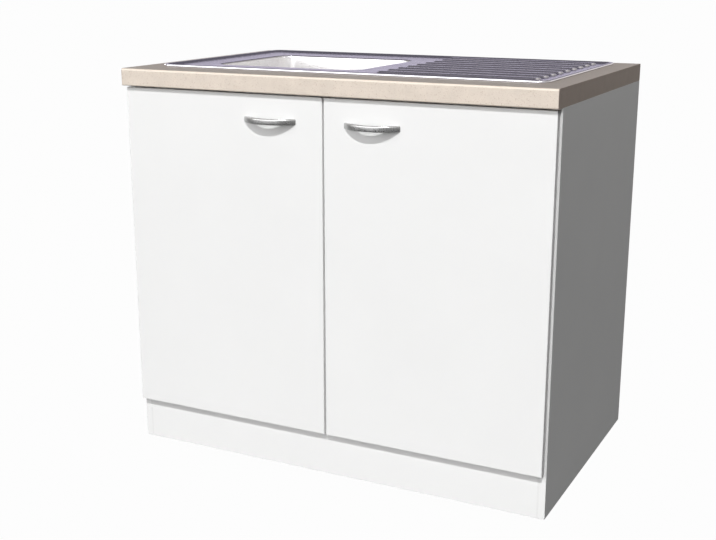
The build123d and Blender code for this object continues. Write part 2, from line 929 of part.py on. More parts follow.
with BuildPart() as rose:
    with BuildSketch(overflow_plane):
        RegularPolygon(rose_radius, ring_sides)
        with PolarLocations(rose_slot_middle, rose_slots):
            Rectangle(rose_slot_length, rose_slot_width, mode=Mode.SUBTRACT)
        RegularPolygon(bore_for(overflow_screw_radius), screw_sides, mode=Mode.SUBTRACT)
    extrude(amount=rose_thickness)
save(rose.part, "overflow_cover")

socket_face = overflow_plane.offset(-sheet)
with BuildPart() as socket:
    with BuildSketch(socket_face):
        RegularPolygon(socket_flange_radius, pipe_sides)
    extrude(amount=-socket_flange)
    with BuildSketch(socket_face):
        RegularPolygon(socket_radius, pipe_sides)
    extrude(amount=-socket_length)
    with BuildSketch(Plane.XY.offset(spigot_end_z)):
        with Locations((pipe_x, bowl_y)):
            RegularPolygon(stub_radius, pipe_sides)
    extrude(amount=socket_spigot_length)
    with BuildSketch(socket_face):
        RegularPolygon(overflow_hole_radius, pipe_sides)
        RegularPolygon(socket_boss_radius, screw_sides, mode=Mode.SUBTRACT)
    extrude(amount=-socket_hollow, mode=Mode.SUBTRACT)
    with BuildSketch(Plane.XY.offset(spigot_end_z)):
        with Locations((pipe_x, bowl_y)):
            RegularPolygon(overflow_pipe_radius + slip, pipe_sides, major_radius=False)
    extrude(amount=overflow_insert + slip, mode=Mode.SUBTRACT)
    with BuildSketch(socket_face):
        RegularPolygon(bore_for(overflow_screw_radius), screw_sides)
    extrude(amount=-socket_hollow, mode=Mode.SUBTRACT)
save(socket.part, "overflow_socket")

save(
    placed(
        screw(
            rose_thickness + sheet + socket_hollow - slip,
            overflow_screw_radius,
            overflow_screw_head_radius,
            overflow_screw_head,
        ),
        overflow_plane.offset(rose_thickness),
    ),
    "overflow_screw",
)

# The pipe's elbow has one slanting run between its two mitres.
run_plane = Plane(origin=(0, bowl_y, 0), x_dir=(1, 0, 0), z_dir=(0, -1, 0))
pipe_top_z = spigot_end_z + overflow_insert
with BuildPart() as overflow_pipe:
    with BuildLine(run_plane) as overflow_path:
        Polyline(
            (pipe_x, pipe_top_z),
            (pipe_x, run_z + overflow_elbow),
            (pipe_x - overflow_elbow, run_z),
            (stub_end_x - overflow_insert, run_z),
        )
    with BuildSketch(Plane(origin=(pipe_x, bowl_y, pipe_top_z), z_dir=(0, 0, -1))):
        RegularPolygon(overflow_pipe_radius, pipe_sides)
    sweep(path=overflow_path.wires()[0], transition=Transition.RIGHT)
save(overflow_pipe.part, "overflow_pipe")


# ===================================================================== trap
# A bottle trap: the inlet pipe drops from the strainer into the neck of the
# bottle, and the outlet pipe runs from its side to the back. Its housing is
# closed, so it is solid inside but for the ends of the pipes.
inlet_top_z = spout_end_z - slip
neck_top_z = inlet_top_z - inlet_length - slip
shoulder_z = neck_top_z - bottle_neck
bottle_low_z = shoulder_z - bottle_height
outlet_z = shoulder_z - bottle_outlet_drop
outlet_start_y = bowl_y + bottle_radius + bottle_outlet_length

with BuildPart() as trap_inlet:
    inlet_low_z = inlet_top_z - inlet_length
    inlet_bore = pipe_radius - pipe_wall
    add(stacked([(pipe_radius, inlet_low_z), (pipe_radius, inlet_top_z)]))
    add(stacked([(inlet_bore, inlet_low_z), (inlet_bore, inlet_top_z)]), mode=Mode.SUBTRACT)
save(trap_inlet.part, "trap_inlet_pipe")

outlet_face = Plane(origin=(bowl_x, outlet_start_y, outlet_z), x_dir=(1, 0, 0), z_dir=(0, 1, 0))
with BuildPart() as bottle:
    add(
        stacked(
            [
                (bottle_radius, bottle_low_z),
                (bottle_radius, shoulder_z - bottle_shoulder),
                (bottle_radius - bottle_shoulder, shoulder_z),
            ]
        )
    )
    add(stacked([(neck_radius, shoulder_z), (neck_radius, neck_top_z)]))
    with BuildSketch(outlet_face):
        RegularPolygon(neck_radius, ring_sides)
    extrude(amount=-(bottle_radius + bottle_outlet_length))
    with BuildSketch(outlet_face):
        RegularPolygon(pipe_radius - pipe_wall, ring_sides)
    extrude(amount=-(bottle_outlet_length + bottle_shoulder), mode=Mode.SUBTRACT)
    with BuildSketch(Plane.XY.offset(neck_top_z)):
        ring_face(pipe_radius - pipe_wall)
    extrude(amount=-bottle_neck, mode=Mode.SUBTRACT)
save(bottle.part, "trap_bottle")

cup_top_z = bottle_low_z + bottle_cup_height / 2
cup_low_z = cup_top_z - bottle_cup_height
with BuildPart() as bottle_cup:
    add(
        stacked(
            [
                (bottle_cup_radius - bottle_cup_taper, cup_low_z - bottle_cup_taper),
                (bottle_cup_radius, cup_low_z),
                (bottle_cup_radius, cup_top_z),
            ]
        )
    )
    with BuildSketch(Plane.XY.offset(cup_top_z)):
        ring_face(bottle_radius + slip)
    extrude(amount=bottle_low_z - slip - cup_top_z, mode=Mode.SUBTRACT)
save(bottle_cup.part, "trap_cleaning_cup")

with BuildPart() as trap_outlet:
    with BuildSketch(outlet_face.offset(slip)):
        Circle(pipe_radius)
        Circle(pipe_radius - pipe_wall, mode=Mode.SUBTRACT)
    extrude(amount=back_y - outlet_start_y - slip)
    with BuildSketch(outlet_face.offset(coupling_height / 2 + part_gap)):
        Circle(pipe_radius + outlet_bead)
        Circle(pipe_radius - pipe_wall, mode=Mode.SUBTRACT)
    extrude(amount=outlet_bead_width)
save(trap_outlet.part, "trap_outlet_pipe")


def coupling_nut(start, wide, narrow):
    """A many-sided nut from the plane on: its collar turns round the wide
    neck behind the plane and its lip round the narrow pipe before it."""
    with BuildPart() as nut:
        with BuildSketch(start.offset(-coupling_height / 2)):
            RegularPolygon(coupling_radius, coupling_sides)
            Circle(wide + slip, mode=Mode.SUBTRACT)
        extrude(amount=coupling_height - coupling_lip)
        with BuildSketch(start.offset(coupling_height / 2 - coupling_lip)):
            RegularPolygon(coupling_radius, coupling_sides)
            Circle(narrow + slip, mode=Mode.SUBTRACT)
        extrude(amount=coupling_lip)
    return nut.part


spout_joint = Plane(origin=(bowl_x, bowl_y, spout_end_z), z_dir=(0, 0, -1))
neck_joint = Plane(origin=(bowl_x, bowl_y, neck_top_z), z_dir=(0, 0, 1))
save(coupling_nut(spout_joint, strainer_spout_radius, pipe_radius), "trap_top_nut")
save(
    group(
        [
            coupling_nut(neck_joint, neck_radius, pipe_radius),
            coupling_nut(outlet_face, neck_radius, pipe_radius),
        ]
    ),
    "trap_coupling_nuts",
)


# ==================================================================== doors
pin_x = -half_width + door_side_reveal + pin_from_edge
pin_y = door_back_y - pin_from_back
cup_x = -half_width + door_side_reveal + cup_from_edge + cup_radius
cup_screw_x = cup_x + cup_screw_offset
ear_inner = arm_width / 2 + part_gap
leg_x = -inner_half + arm_leg_x
door_left_edge = -half_width + door_side_reveal
handle_x = {-1: -handle_inset_left, 1: handle_inset_right}


def into_door(x, z):
    """A plane on the back of the door, looking into its thickness."""
    return Plane(origin=(x, door_back_y, z), x_dir=(1, 0, 0), z_dir=(0, -1, 0))


def door_leaf(side):
    """One door, built on the left and mirrored, with all its holes."""
    with BuildPart() as leaf:
        with Locations(
            (
                door_left_edge + door_width / 2,
                (door_face_y + door_back_y) / 2,
                (door_bottom_height + door_top) / 2,
            )
        ):
            Box(door_width, door_thickness, door_height)
        fillet(leaf.edges().filter_by(Axis.Z), door_edge_radius)
        for z in hinge_heights:
            with BuildSketch(into_door(cup_x, z)):
                Circle(cup_radius + fit)
            extrude(amount=cup_depth + cup_floor + slip, mode=Mode.SUBTRACT)
            with BuildSketch(into_door(cup_screw_x, z)):
                with GridLocations(0, cup_screw_spacing, 1, 2):
                    RegularPolygon(bore_for(cup_screw_radius), screw_sides)
            extrude(amount=cup_screw_length - cup_flange + slip, mode=Mode.SUBTRACT)
        with BuildSketch(into_door(-abs(handle_x[side]), handle_centre_height)):
            with GridLocations(handle_hole_spacing, 0, 2, 1):
                RegularPolygon(bore_for(handle_screw_radius), screw_sides)
        extrude(amount=door_thickness, mode=Mode.SUBTRACT)
    return leaf.part


def sided(part, side):
    """The left-hand part as it is, or its mirror for the right."""
    return part if side < 0 else mirror(part, about=Plane.YZ)


def hinge_cup(z):
    """A pressed cup with its flange, bored across for the pin."""
    with BuildPart() as cup:
        with BuildSketch(into_door(cup_x, z)):
            RegularPolygon(cup_radius, ring_sides)
        extrude(amount=cup_depth + cup_floor)
        with BuildSketch(into_door(cup_x, z)):
            RegularPolygon(cup_flange_radius, ring_sides)
            with Locations((cup_screw_offset, 0)):
                Rectangle(cup_flange_width, cup_flange_length)
            with Locations((-cup_radius, 0)):
                Rectangle(
                    cup_radius,
                    cup_flange_length,
                    align=(Align.MAX, Align.CENTER),
                    mode=Mode.SUBTRACT,
                )
            with Locations((cup_screw_offset, 0)):
                with GridLocations(0, cup_screw_spacing, 1, 2):
                    RegularPolygon(
                        bore_for(cup_screw_radius), screw_sides, mode=Mode.SUBTRACT
                    )
        extrude(amount=-cup_flange)
        with BuildSketch(into_door(cup_x, z).offset(-cup_flange)):
            RegularPolygon(cup_radius - cup_wall, ring_sides)
        extrude(amount=cup_depth + cup_flange, mode=Mode.SUBTRACT)
        for step in (-1, 1):
            ear_low_x = cup_x - cup_radius + cup_wall + cup_ear_root
            ear_high_x = pin_x + cup_ear_radius
            ear_low_y = door_back_y - cup_depth - cup_floor / 2
            ear_high_y = pin_y + cup_ear_radius
            with Locations(
                (
                    (ear_low_x + ear_high_x) / 2,
                    (ear_low_y + ear_high_y) / 2,
                    z + step * (ear_inner + cup_ear / 2),
                )
            ):
                Box(ear_high_x - ear_low_x, ear_high_y - ear_low_y, cup_ear)
        with Locations((pin_x, pin_y, z)):
            Cylinder(pin_radius + fit, 2 * (ear_inner + cup_ear), mode=Mode.SUBTRACT)
    return cup.part


def hinge_pin(z):
    """The pin, its ends seated in the ears of the cup."""
    with BuildPart() as pin:
        with Locations((pin_x, pin_y, z)):
            Cylinder(pin_radius, 2 * (ear_inner + cup_ear))
    return pin.part


def hinge_arm(z):
    """The bent arm: knuckle on the pin, neck out of the cup, channel on the plate."""
    with BuildPart() as arm:
        with BuildSketch(Plane.XY.offset(z - arm_width / 2)):
            with BuildLine() as neck:
                FilletPolyline(
                    (pin_x, pin_y),
                    (leg_x, pin_y),
                    (leg_x, carcase_front_y + channel_back),
                    radius=arm_bend_radius,
                )
            trace(neck.edges(), line_width=arm_sheet)
            with Locations((pin_x, pin_y)):
                Circle(arm_knuckle_radius)
                Circle(pin_radius + fit, mode=Mode.SUBTRACT)
        extrude(amount=arm_width)
        channel_length = channel_back - channel_front
        channel_middle_y = carcase_front_y + channel_front + channel_length / 2
        with Locations((leg_x, channel_middle_y, z)):
            Box(arm_sheet, channel_length, 2 * channel_half_width)
        wall_height = arm_leg_x - plate_spine
        for step in (-1, 1):
            with Locations(
                (
                    leg_x - wall_height / 2,
                    channel_middle_y,
                    z + step * (channel_half_width - channel_wall / 2),
                )
            ):
                Box(wall_height, channel_length, channel_wall)
        clamp_plane = Plane(
            origin=(leg_x + arm_sheet, carcase_front_y + clamp_screw_back, z),
            x_dir=(0, 1, 0),
            z_dir=(-1, 0, 0),
        )
        with BuildSketch(clamp_plane):
            RegularPolygon(bore_for(clamp_screw_radius), screw_sides)
        extrude(amount=2 * arm_sheet, mode=Mode.SUBTRACT)
    return arm.part


def mount_plate(z):
    """The cross-shaped plate on the side panel that carries the arm."""
    panel_plane = Plane(
        origin=(-inner_half, carcase_front_y, z), x_dir=(0, 1, 0), z_dir=(1, 0, 0)
    )
    with BuildPart() as plate:
        with BuildSketch(panel_plane):
            with Locations(((plate_front + plate_back) / 2, 0)):
                Rectangle(plate_back - plate_front, plate_width)
        extrude(amount=plate_spine)
        with BuildSketch(panel_plane):
            with Locations((plate_wing_back, 0)):
                Rectangle(plate_wing_width, plate_wing_length)
        extrude(amount=plate_wing)
        with BuildSketch(panel_plane):
            with Locations((plate_wing_back, 0)):
                with GridLocations(0, plate_screw_spacing, 1, 2):
                    RegularPolygon(bore_for(plate_screw_radius), screw_sides)
        extrude(amount=plate_wing, mode=Mode.SUBTRACT)
        with BuildSketch(panel_plane):
            with Locations((clamp_screw_back, 0)):
                RegularPolygon(bore_for(clamp_screw_radius), screw_sides)
        extrude(amount=plate_spine, mode=Mode.SUBTRACT)
    return plate.part


arms = []
plates = []
plate_screws = []
clamp_screws = []
for side in (-1, 1):
    for z in hinge_heights:
        arms.append(sided(hinge_arm(z), side))
        plates.append(sided(mount_plate(z), side))
        for step in (-0.5, 0.5):
            seat = Plane(
                origin=(
                    -inner_half + plate_wing,
                    carcase_front_y + plate_wing_back,
                    z + step * plate_screw_spacing,
                ),
                z_dir=(1, 0, 0),
            )
            fixing = screw(
                plate_screw_length + plate_wing,
                plate_screw_radius,
                plate_screw_head_radius,
                plate_screw_head,
            )
            plate_screws.append(sided(placed(fixing, seat), side))
        clamp_seat = Plane(
            origin=(leg_x + arm_sheet / 2, carcase_front_y + clamp_screw_back, z),
            z_dir=(1, 0, 0),
        )
        clamp = screw(
            arm_leg_x + arm_sheet / 2 - slip,
            clamp_screw_radius,
            clamp_screw_head_radius,
            clamp_screw_head,
        )
        clamp_screws.append(sided(placed(clamp, clamp_seat), side))
save(group(arms), "hinge_arms")
save(group(plates), "hinge_mount_plates")
save(group(plate_screws), "hinge_plate_screws")
save(group(clamp_screws), "hinge_clamp_screws")


def bow_handle(x):
    """A crescent bow: a flat strap bent away from the door, solid at both feet."""
    half_length = handle_length / 2
    inner_half_span = half_length - handle_foot
    inner_rise = handle_projection - handle_strap
    with BuildPart() as bow:
        with BuildSketch(
            Plane(
                origin=(x, door_face_y, handle_centre_height - handle_height / 2),
                x_dir=(-1, 0, 0),
                z_dir=(0, 0, 1),
            )
        ):
            with BuildLine():
                ThreePointArc((-half_length, 0), (0, handle_projection), (half_length, 0))
                Line((half_length, 0), (inner_half_span, 0))
                ThreePointArc((inner_half_span, 0), (0, inner_rise), (-inner_half_span, 0))
                Line((-inner_half_span, 0), (-half_length, 0))
            make_face()
        extrude(amount=handle_height)
        outer_edges = bow.faces().sort_by(Axis.Y)[0].edges().filter_by(GeomType.CIRCLE)
        chamfer(outer_edges, handle_bevel)
        hole_plane = Plane(
            origin=(x, door_face_y, handle_centre_height), x_dir=(1, 0, 0), z_dir=(0, -1, 0)
        )
        with BuildSketch(hole_plane):
            with GridLocations(handle_hole_spacing, 0, 2, 1):
                RegularPolygon(bore_for(handle_screw_radius), screw_sides)
        extrude(amount=handle_thread_depth, mode=Mode.SUBTRACT)
    return bow.part


# The lower buffers meet the cabinet floor's edge, the upper ones the front rail.
buffer_x = -door_centre_gap / 2 - buffer_from_free_edge
upper_buffer_z = carcase_top - front_rail_height + buffer_upper_drop
buffers = [
    (cabinet_floor_z, door_stand_off - part_gap),
    (upper_buffer_z, door_stand_off + front_rail_setback - part_gap),
]

for side, side_name in ((-1, "left"), (1, "right")):
    save(sided(door_leaf(side), side), "door_" + side_name)
    save(bow_handle(handle_x[side]), "handle_" + side_name)
    cups = []
    pins = []
    cup_screws = []
    for z in hinge_heights:
        cups.append(sided(hinge_cup(z), side))
        pins.append(sided(hinge_pin(z), side))
        for step in (-0.5, 0.5):
            seat = Plane(
                origin=(cup_screw_x, door_back_y + cup_flange, z + step * cup_screw_spacing),
                z_dir=(0, 1, 0),
            )
            fixing = screw(
                cup_screw_length,
                cup_screw_radius,
                cup_screw_head_radius,
                cup_screw_head,
            )
            cup_screws.append(sided(placed(fixing, seat), side))
    save(group(cups), "hinge_cups_" + side_name)
    save(group(pins), "hinge_pins_" + side_name)
    save(group(cup_screws), "hinge_cup_screws_" + side_name)
    handle_screws = []
    for step in (-0.5, 0.5):
        seat = Plane(
            origin=(
                handle_x[side] + step * handle_hole_spacing,
                door_back_y,
                handle_centre_height,
            ),
            z_dir=(0, 1, 0),
        )
        fixing = screw(
            door_thickness + handle_thread_depth - slip,
            handle_screw_radius,
            handle_screw_head_radius,
            handle_screw_head,
        )
        handle_screws.append(placed(fixing, seat))
    save(group(handle_screws), "handle_screws_" + side_name)
    pads = []
    for z, thickness in buffers:
        with BuildPart() as pad:
            with BuildSketch(into_door(buffer_x, z)):
                RegularPolygon(buffer_radius, buffer_sides)
            extrude(amount=-thickness)
        pads.append(sided(pad.part, side))
    save(group(pads), "door_buffers_" + side_name)
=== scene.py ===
import math

import bmesh
import bpy
from mathutils import Matrix, Vector
from mathutils.geometry import delaunay_2d_cdt


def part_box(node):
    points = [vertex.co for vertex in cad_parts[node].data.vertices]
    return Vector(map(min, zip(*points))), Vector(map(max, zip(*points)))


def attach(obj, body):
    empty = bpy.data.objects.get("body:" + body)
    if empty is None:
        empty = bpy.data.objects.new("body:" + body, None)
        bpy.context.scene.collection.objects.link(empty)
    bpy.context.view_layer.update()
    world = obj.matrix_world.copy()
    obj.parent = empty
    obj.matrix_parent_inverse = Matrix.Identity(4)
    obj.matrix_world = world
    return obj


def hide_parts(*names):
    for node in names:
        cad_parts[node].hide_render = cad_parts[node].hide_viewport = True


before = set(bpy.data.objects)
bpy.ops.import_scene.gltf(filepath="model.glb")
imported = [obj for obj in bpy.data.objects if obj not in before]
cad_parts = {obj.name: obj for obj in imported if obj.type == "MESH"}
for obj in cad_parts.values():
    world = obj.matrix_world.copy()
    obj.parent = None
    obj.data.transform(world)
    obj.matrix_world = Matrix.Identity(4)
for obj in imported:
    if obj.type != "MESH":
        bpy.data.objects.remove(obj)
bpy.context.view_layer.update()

bl_info = {
    "name": "Kitchen Sink Unit",
    "version": (1, 0, 0),
    "blender": (4, 5, 0),
    "location": "3D View > Sidebar > Sink Unit",
    "description": "Builds a two-door kitchen sink unit, piece by piece, and its studio",
    "category": "Object",
}

MM = 0.001
SINK_LOW, SINK_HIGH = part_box("sink")
RIM_RISE = 4 * MM
DECK_Z = SINK_HIGH.z - RIM_RISE
SHARP = math.radians(32)
BOW_STEPS = 64
FLOOR_REACH = 40.0
SUN_PLACE = (-1.5, -3.5, 2.0)
# The camera as solved from the straight edges in the photo
EYE = (1.1127, -2.35475, 1.09656)
EYE_TILT = math.radians(75.135)
EYE_TURN = math.radians(26.649)
LENS = 57.235
ALONG_X = (0.05, 1.0, 1.0)  # stretches a grain into strokes along X


def length(name, description, millimetres):
    """A length property given in millimetres."""
    return bpy.props.FloatProperty(
        name=name, description=description, default=millimetres * MM, unit="LENGTH", precision=4
    )


def colour(name, description, value):
    """A colour property."""
    return bpy.props.FloatVectorProperty(
        name=name, description=description, default=value, subtype="COLOR", size=3, min=0, max=1
    )


def number(name, description, value):
    """A plain property that isn't negative."""
    return bpy.props.FloatProperty(name=name, description=description, default=value, min=0)


class SinkSettings(bpy.types.PropertyGroup):
    """Sizes of the pressed sink, its waste and its overflow."""

    bowl_x: length("Bowl X", "Middle of the bowl, to the right", -185.5)
    bowl_y: length("Bowl Y", "Middle of the bowl, towards the wall", 20.75)
    bowl_width: length("Bowl Width", "Opening of the bowl from side to side", 361)
    bowl_length: length("Bowl Length", "Opening of the bowl from front to back", 313)
    bowl_depth: length("Bowl Depth", "Depth of the bowl below the drainer", 160)
    bowl_corner: length("Bowl Corner", "Corner radius of the bowl's opening", 35)
    bowl_floor_radius: length("Floor Radius", "Radius between the walls and the floor", 26)
    bowl_lip: length("Lip Radius", "Radius of the bowl's upper edge", 5)
    bowl_draft: bpy.props.FloatProperty(
        name="Wall Slope",
        description="How far the bowl's walls lean out",
        default=math.radians(3),
        subtype="ANGLE",
    )
    corner: length("Corner", "Corner radius of the whole sink", 22)
    sheet: length("Sheet", "Thickness of the pressed sheet", 0.8)
    dish_radius: length("Dish Radius", "Radius of the dish round the waste", 61)
    dish_depth: length("Dish Depth", "Depth of the dish round the waste", 3)
    waste_radius: length("Waste Radius", "Radius of the waste hole", 45)
    rib_count: bpy.props.IntProperty(
        name="Ribs", description="Number of raised ribs on the drainer", default=9, min=1
    )
    rib_first_y: length("First Rib", "Middle line of the front rib", -162.75)
    rib_pitch: length("Rib Pitch", "Distance from one rib to the next", 50.5)
    rib_left: length("Rib Left End", "Left end of the ribs", 57)
    rib_right: length("Rib Right End", "Right end of the ribs", 420)
    rib_width: length("Rib Width", "Width of a rib at its foot", 27)
    rib_crest: length("Rib Crest", "Width of a rib at its top", 13)
    rib_height: length("Rib Height", "Height of a rib above the drainer", 4)
    overflow_z: length("Overflow Height", "Middle of the overflow hole above the floor", 847)
    overflow_radius: length("Overflow Radius", "Radius of the overflow hole", 14)
    tone: colour("Drainer", "Tone of the satin sheet round the bowl", (0.70, 0.69, 0.74))
    # Painted light: the bowl's tone is lighter than the drainer's so that it stands in for the light in
    # the bowl; the sheet is one steel
    bowl_painted_light_tone: colour("Bowl", "Tone of the brighter steel in the bowl", (0.84, 0.83, 0.83))


class CabinetSettings(bpy.types.PropertyGroup):
    """Colours of the boards and the worktop."""

    board: colour("Board", "Tone of the melamine-faced boards", (0.90, 0.90, 0.895))
    chipboard: colour("Chipboard", "Tone of the raw core", (0.52, 0.36, 0.21))
    laminate: colour("Laminate", "Ground tone of the worktop", (0.745, 0.655, 0.565))
    speckle: colour("Speckle", "Tone of the dark speckles", (0.42, 0.29, 0.22))
    edging: colour("Edging", "Tone of the worktop's end strips", (0.44, 0.36, 0.31))
    # Painted shade: the worktop's level face is painted darker than its front, in place of the weaker
    # light that falls on it
    painted_top_shade: bpy.props.FloatProperty(
        name="Top Shade",
        description="How much darker the worktop's level face is than its front",
        default=0.66,
        min=0,
        max=1,
    )
    edge_band: length("Edge Band", "Thickness of the boards' edge strips", 1.0)
    edge_round: length("Edge Round", "Rounding of the boards' edges", 0.6)


class HardwareSettings(bpy.types.PropertyGroup):
    """Sizes and colours of the handles, hinges and fixings."""

    satin: colour("Satin Nickel", "Tone of the handles", (0.50, 0.50, 0.50))
    nickel: colour("Bright Nickel", "Tone of the hinges", (0.66, 0.64, 0.60))
    zinc: colour("Zinc", "Tone of the screws and brackets", (0.62, 0.63, 0.66))
    plastic: colour("Polypropylene", "Tone of the waste pipes", (0.86, 0.86, 0.84))
    rubber: colour("Rubber", "Tone of the seals", (0.025, 0.025, 0.027))
    buffer: colour("Buffer", "Tone of the door buffers", (0.85, 0.86, 0.84))
    handle_strap: length("Handle Strap", "Thickness of the bow at its middle", 5.6)
    handle_foot: length("Handle Foot", "Length of the bow's feet on the door", 14)
    handle_round: length("Handle Round", "Rounding of the bow's outer edges", 3)


class StageSettings(bpy.types.PropertyGroup):
    """The studio round the unit."""

    floor: colour("Floor", "Tone of the floor", (0.1, 0.1, 0.1))
    key_strength: number("Key", "Strength of the key light", 2.3)
    fill_strength: number("Fill", "Strength of the soft light from the left", 3.25)
    back_strength: number("Back", "Strength of the light from behind on the left", 1.8)
    spot_power: number("Bowl Spot", "Power of the small lamp over the bowl", 5)
    room_strength: number("Room", "Strength of the light from all round", 0.03)
    gloss_strength: number("Gloss", "Brightness of the walls low down in the metal", 0.62)
    low_wall: colour("Strip", "Tone of the dim strip behind the unit", (0.89, 0.84, 0.98))
    high_wall: colour("Walls", "Tone of the walls beside that strip", (1.0, 0.96, 0.9))


# ------------------------------------------------------------------- shapes
def circle(radius, count, z):
    """Points of a level circle, half a step round from the X axis."""
    turned = Matrix.Rotation(math.pi / count, 3, "Z")
    angles = [2 * math.pi * step / count for step in range(count)]
    points = [Vector((radius * math.cos(a), radius * math.sin(a), z)) for a in angles]
    return [tuple(turned @ point) for point in points]


def rounded_outline(x, y, width, depth, radius, z, corner_steps=12):
    """Points round a level rectangle with rounded corners."""
    points = []
    for quarter in range(4):
        side_x = 1 if quarter in (0, 3) else -1
        side_y = 1 if quarter in (0, 1) else -1
        middle_x = x + side_x * (width / 2 - radius)
        middle_y = y + side_y * (depth / 2 - radius)
        for step in range(corner_steps + 1):
            angle = (quarter + step / corner_steps) * math.pi / 2
            points.append(
                (middle_x + radius * math.cos(angle), middle_y + radius * math.sin(angle), z)
            )
    return points


def cross_outline(reach, half_width, count, z):
    """Points round a plus sign, one at every equal turn."""
    points = []
    for step in range(count):
        angle = 2 * math.pi * (step + 0.5) / count
        along = max(abs(math.cos(angle)), 1e-6)
        across = max(abs(math.sin(angle)), 1e-6)
        far = max(min(reach / along, half_width / across), min(half_width / along, reach / across))
        points.append((far * math.cos(angle), far * math.sin(angle), z))
    return points


def facing(origin, direction):
    """A matrix that sets +Z along the direction at the origin."""
    turn = Vector(direction).normalized().to_track_quat("Z", "Y")
    return Matrix.Translation(Vector(origin)) @ turn.to_matrix().to_4x4()


class Shape:
    """Points and faces gathered from several simple solids."""

    def __init__(self):
        self.points = []
        self.faces = []

    def skin(self, rings, start=False, end=False, loop=False, place=None):
        """Joins rings of equal count with quads and may close its ends."""
        place = place or Matrix()
        base = len(self.points)
        count = len(rings[0])
        for ring in rings:
            self.points.extend(place @ Vector(point) for point in ring)
        rows = [base + row * count for row in range(len(rings))]
        pairs = list(zip(rows, rows[1:])) + ([(rows[-1], rows[0])] if loop else [])
        for low, high in pairs:
            for step in range(count):
                after = (step + 1) % count
                self.faces.append((low + step, low + after, high + after, high + step))
        if start:
            self.faces.append(tuple(rows[0] + step for step in reversed(range(count))))
        if end:
            self.faces.append(tuple(rows[-1] + step for step in range(count)))
        return self

    def turn(self, profile, place=None, count=64, lobes=0, lobe_depth=0.0, **ends):
        """Turns (radius, height) pairs about Z; lobes cut grips into the outside."""
        rings = []
        for radius, height, *grip in profile:
            ring = []
            for step in range(count):
                angle = 2 * math.pi * step / count
                cut = lobe_depth * (0.5 + 0.5 * math.cos(lobes * angle)) if grip else 0
                reach = radius - cut
                ring.append((reach * math.cos(angle), reach * math.sin(angle), height))
            rings.append(ring)
        return self.skin(rings, place=place, **ends)

    def box(self, low, high, place=None):
        """A plain block between two corners."""
        (x0, y0, z0), (x1, y1, z1) = low, high
        rings = [[(x0, y0, z), (x1, y0, z), (x1, y1, z), (x0, y1, z)] for z in (z0, z1)]
        return self.skin(rings, start=True, end=True, place=place)

    def merge(self, other, place):
        """Adds a moved copy of another shape."""
        base = len(self.points)
        self.points.extend(place @ Vector(point) for point in other.points)
        self.faces.extend(tuple(base + index for index in face) for face in other.faces)
        return self

    def mesh(self, name, sharp=SHARP):
        """The mesh, smooth but for edges that turn by more than the angle."""
        made = bpy.data.meshes.new(name)
        made.from_pydata([tuple(point) for point in self.points], [], self.faces)
        made.validate()
        work = bmesh.new()
        work.from_mesh(made)
        bmesh.ops.remove_doubles(work, verts=work.verts, dist=1e-6)
        bmesh.ops.recalc_face_normals(work, faces=work.faces)
        work.to_mesh(made)
        work.free()
        made.shade_smooth()
        made.set_sharp_from_angle(angle=sharp)
        return made

    def build(self, name, body, finish, stands_for, sharp=SHARP):
        """The finished piece, riding on its body in place of the CAD nodes."""
        made = bpy.data.objects.new(name, self.mesh(name, sharp))
        bpy.context.scene.collection.objects.link(made)
        made.data.materials.append(material(finish))
        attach(made, body)
        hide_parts(*stands_for)
        return made

    def detail(self, node, body, finish, name=None):
        """The finished piece in place of one CAD node."""
        return self.build((name or node) + "_detail", body, finish, [node])


def cut(target, cutter):
    """Takes the cutter's shape out of the target's mesh for good."""
    tool = bpy.data.objects.new("cutter", cutter.mesh("cutter"))
    bpy.context.scene.collection.objects.link(tool)
    step = target.modifiers.new("cut", "BOOLEAN")
    step.operation = "DIFFERENCE"
    step.solver = "EXACT"
    step.object = tool
    bpy.context.view_layer.update()
    seen = target.evaluated_get(bpy.context.evaluated_depsgraph_get())
    result = bpy.data.meshes.new_from_object(seen)
    target.modifiers.clear()
    old = target.data
    target.data = result
    bpy.data.meshes.remove(old)
    bpy.data.objects.remove(tool)


def solids(node):
    """(lowest, highest) corner of every separate solid in a CAD node."""
    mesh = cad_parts[node].data
    spots = [tuple(round(value, 5) for value in vertex.co) for vertex in mesh.vertices]
    parent = {}

    def root(spot):
        while parent.setdefault(spot, spot) != spot:
            parent[spot] = parent[parent[spot]]
            spot = parent[spot]
        return spot

    for polygon in mesh.polygons:
        first = root(spots[polygon.vertices[0]])
        for index in polygon.vertices[1:]:
            parent[root(spots[index])] = first
    groups = {}
    for spot in set(spots):
        groups.setdefault(root(spot), []).append(spot)
    boxes = []
    for members in groups.values():
        low = Vector([min(member[axis] for member in members) for axis in range(3)])
        high = Vector([max(member[axis] for member in members) for axis in range(3)])
        boxes.append((low, high))
    return sorted(boxes, key=lambda pair: tuple(pair[0]))


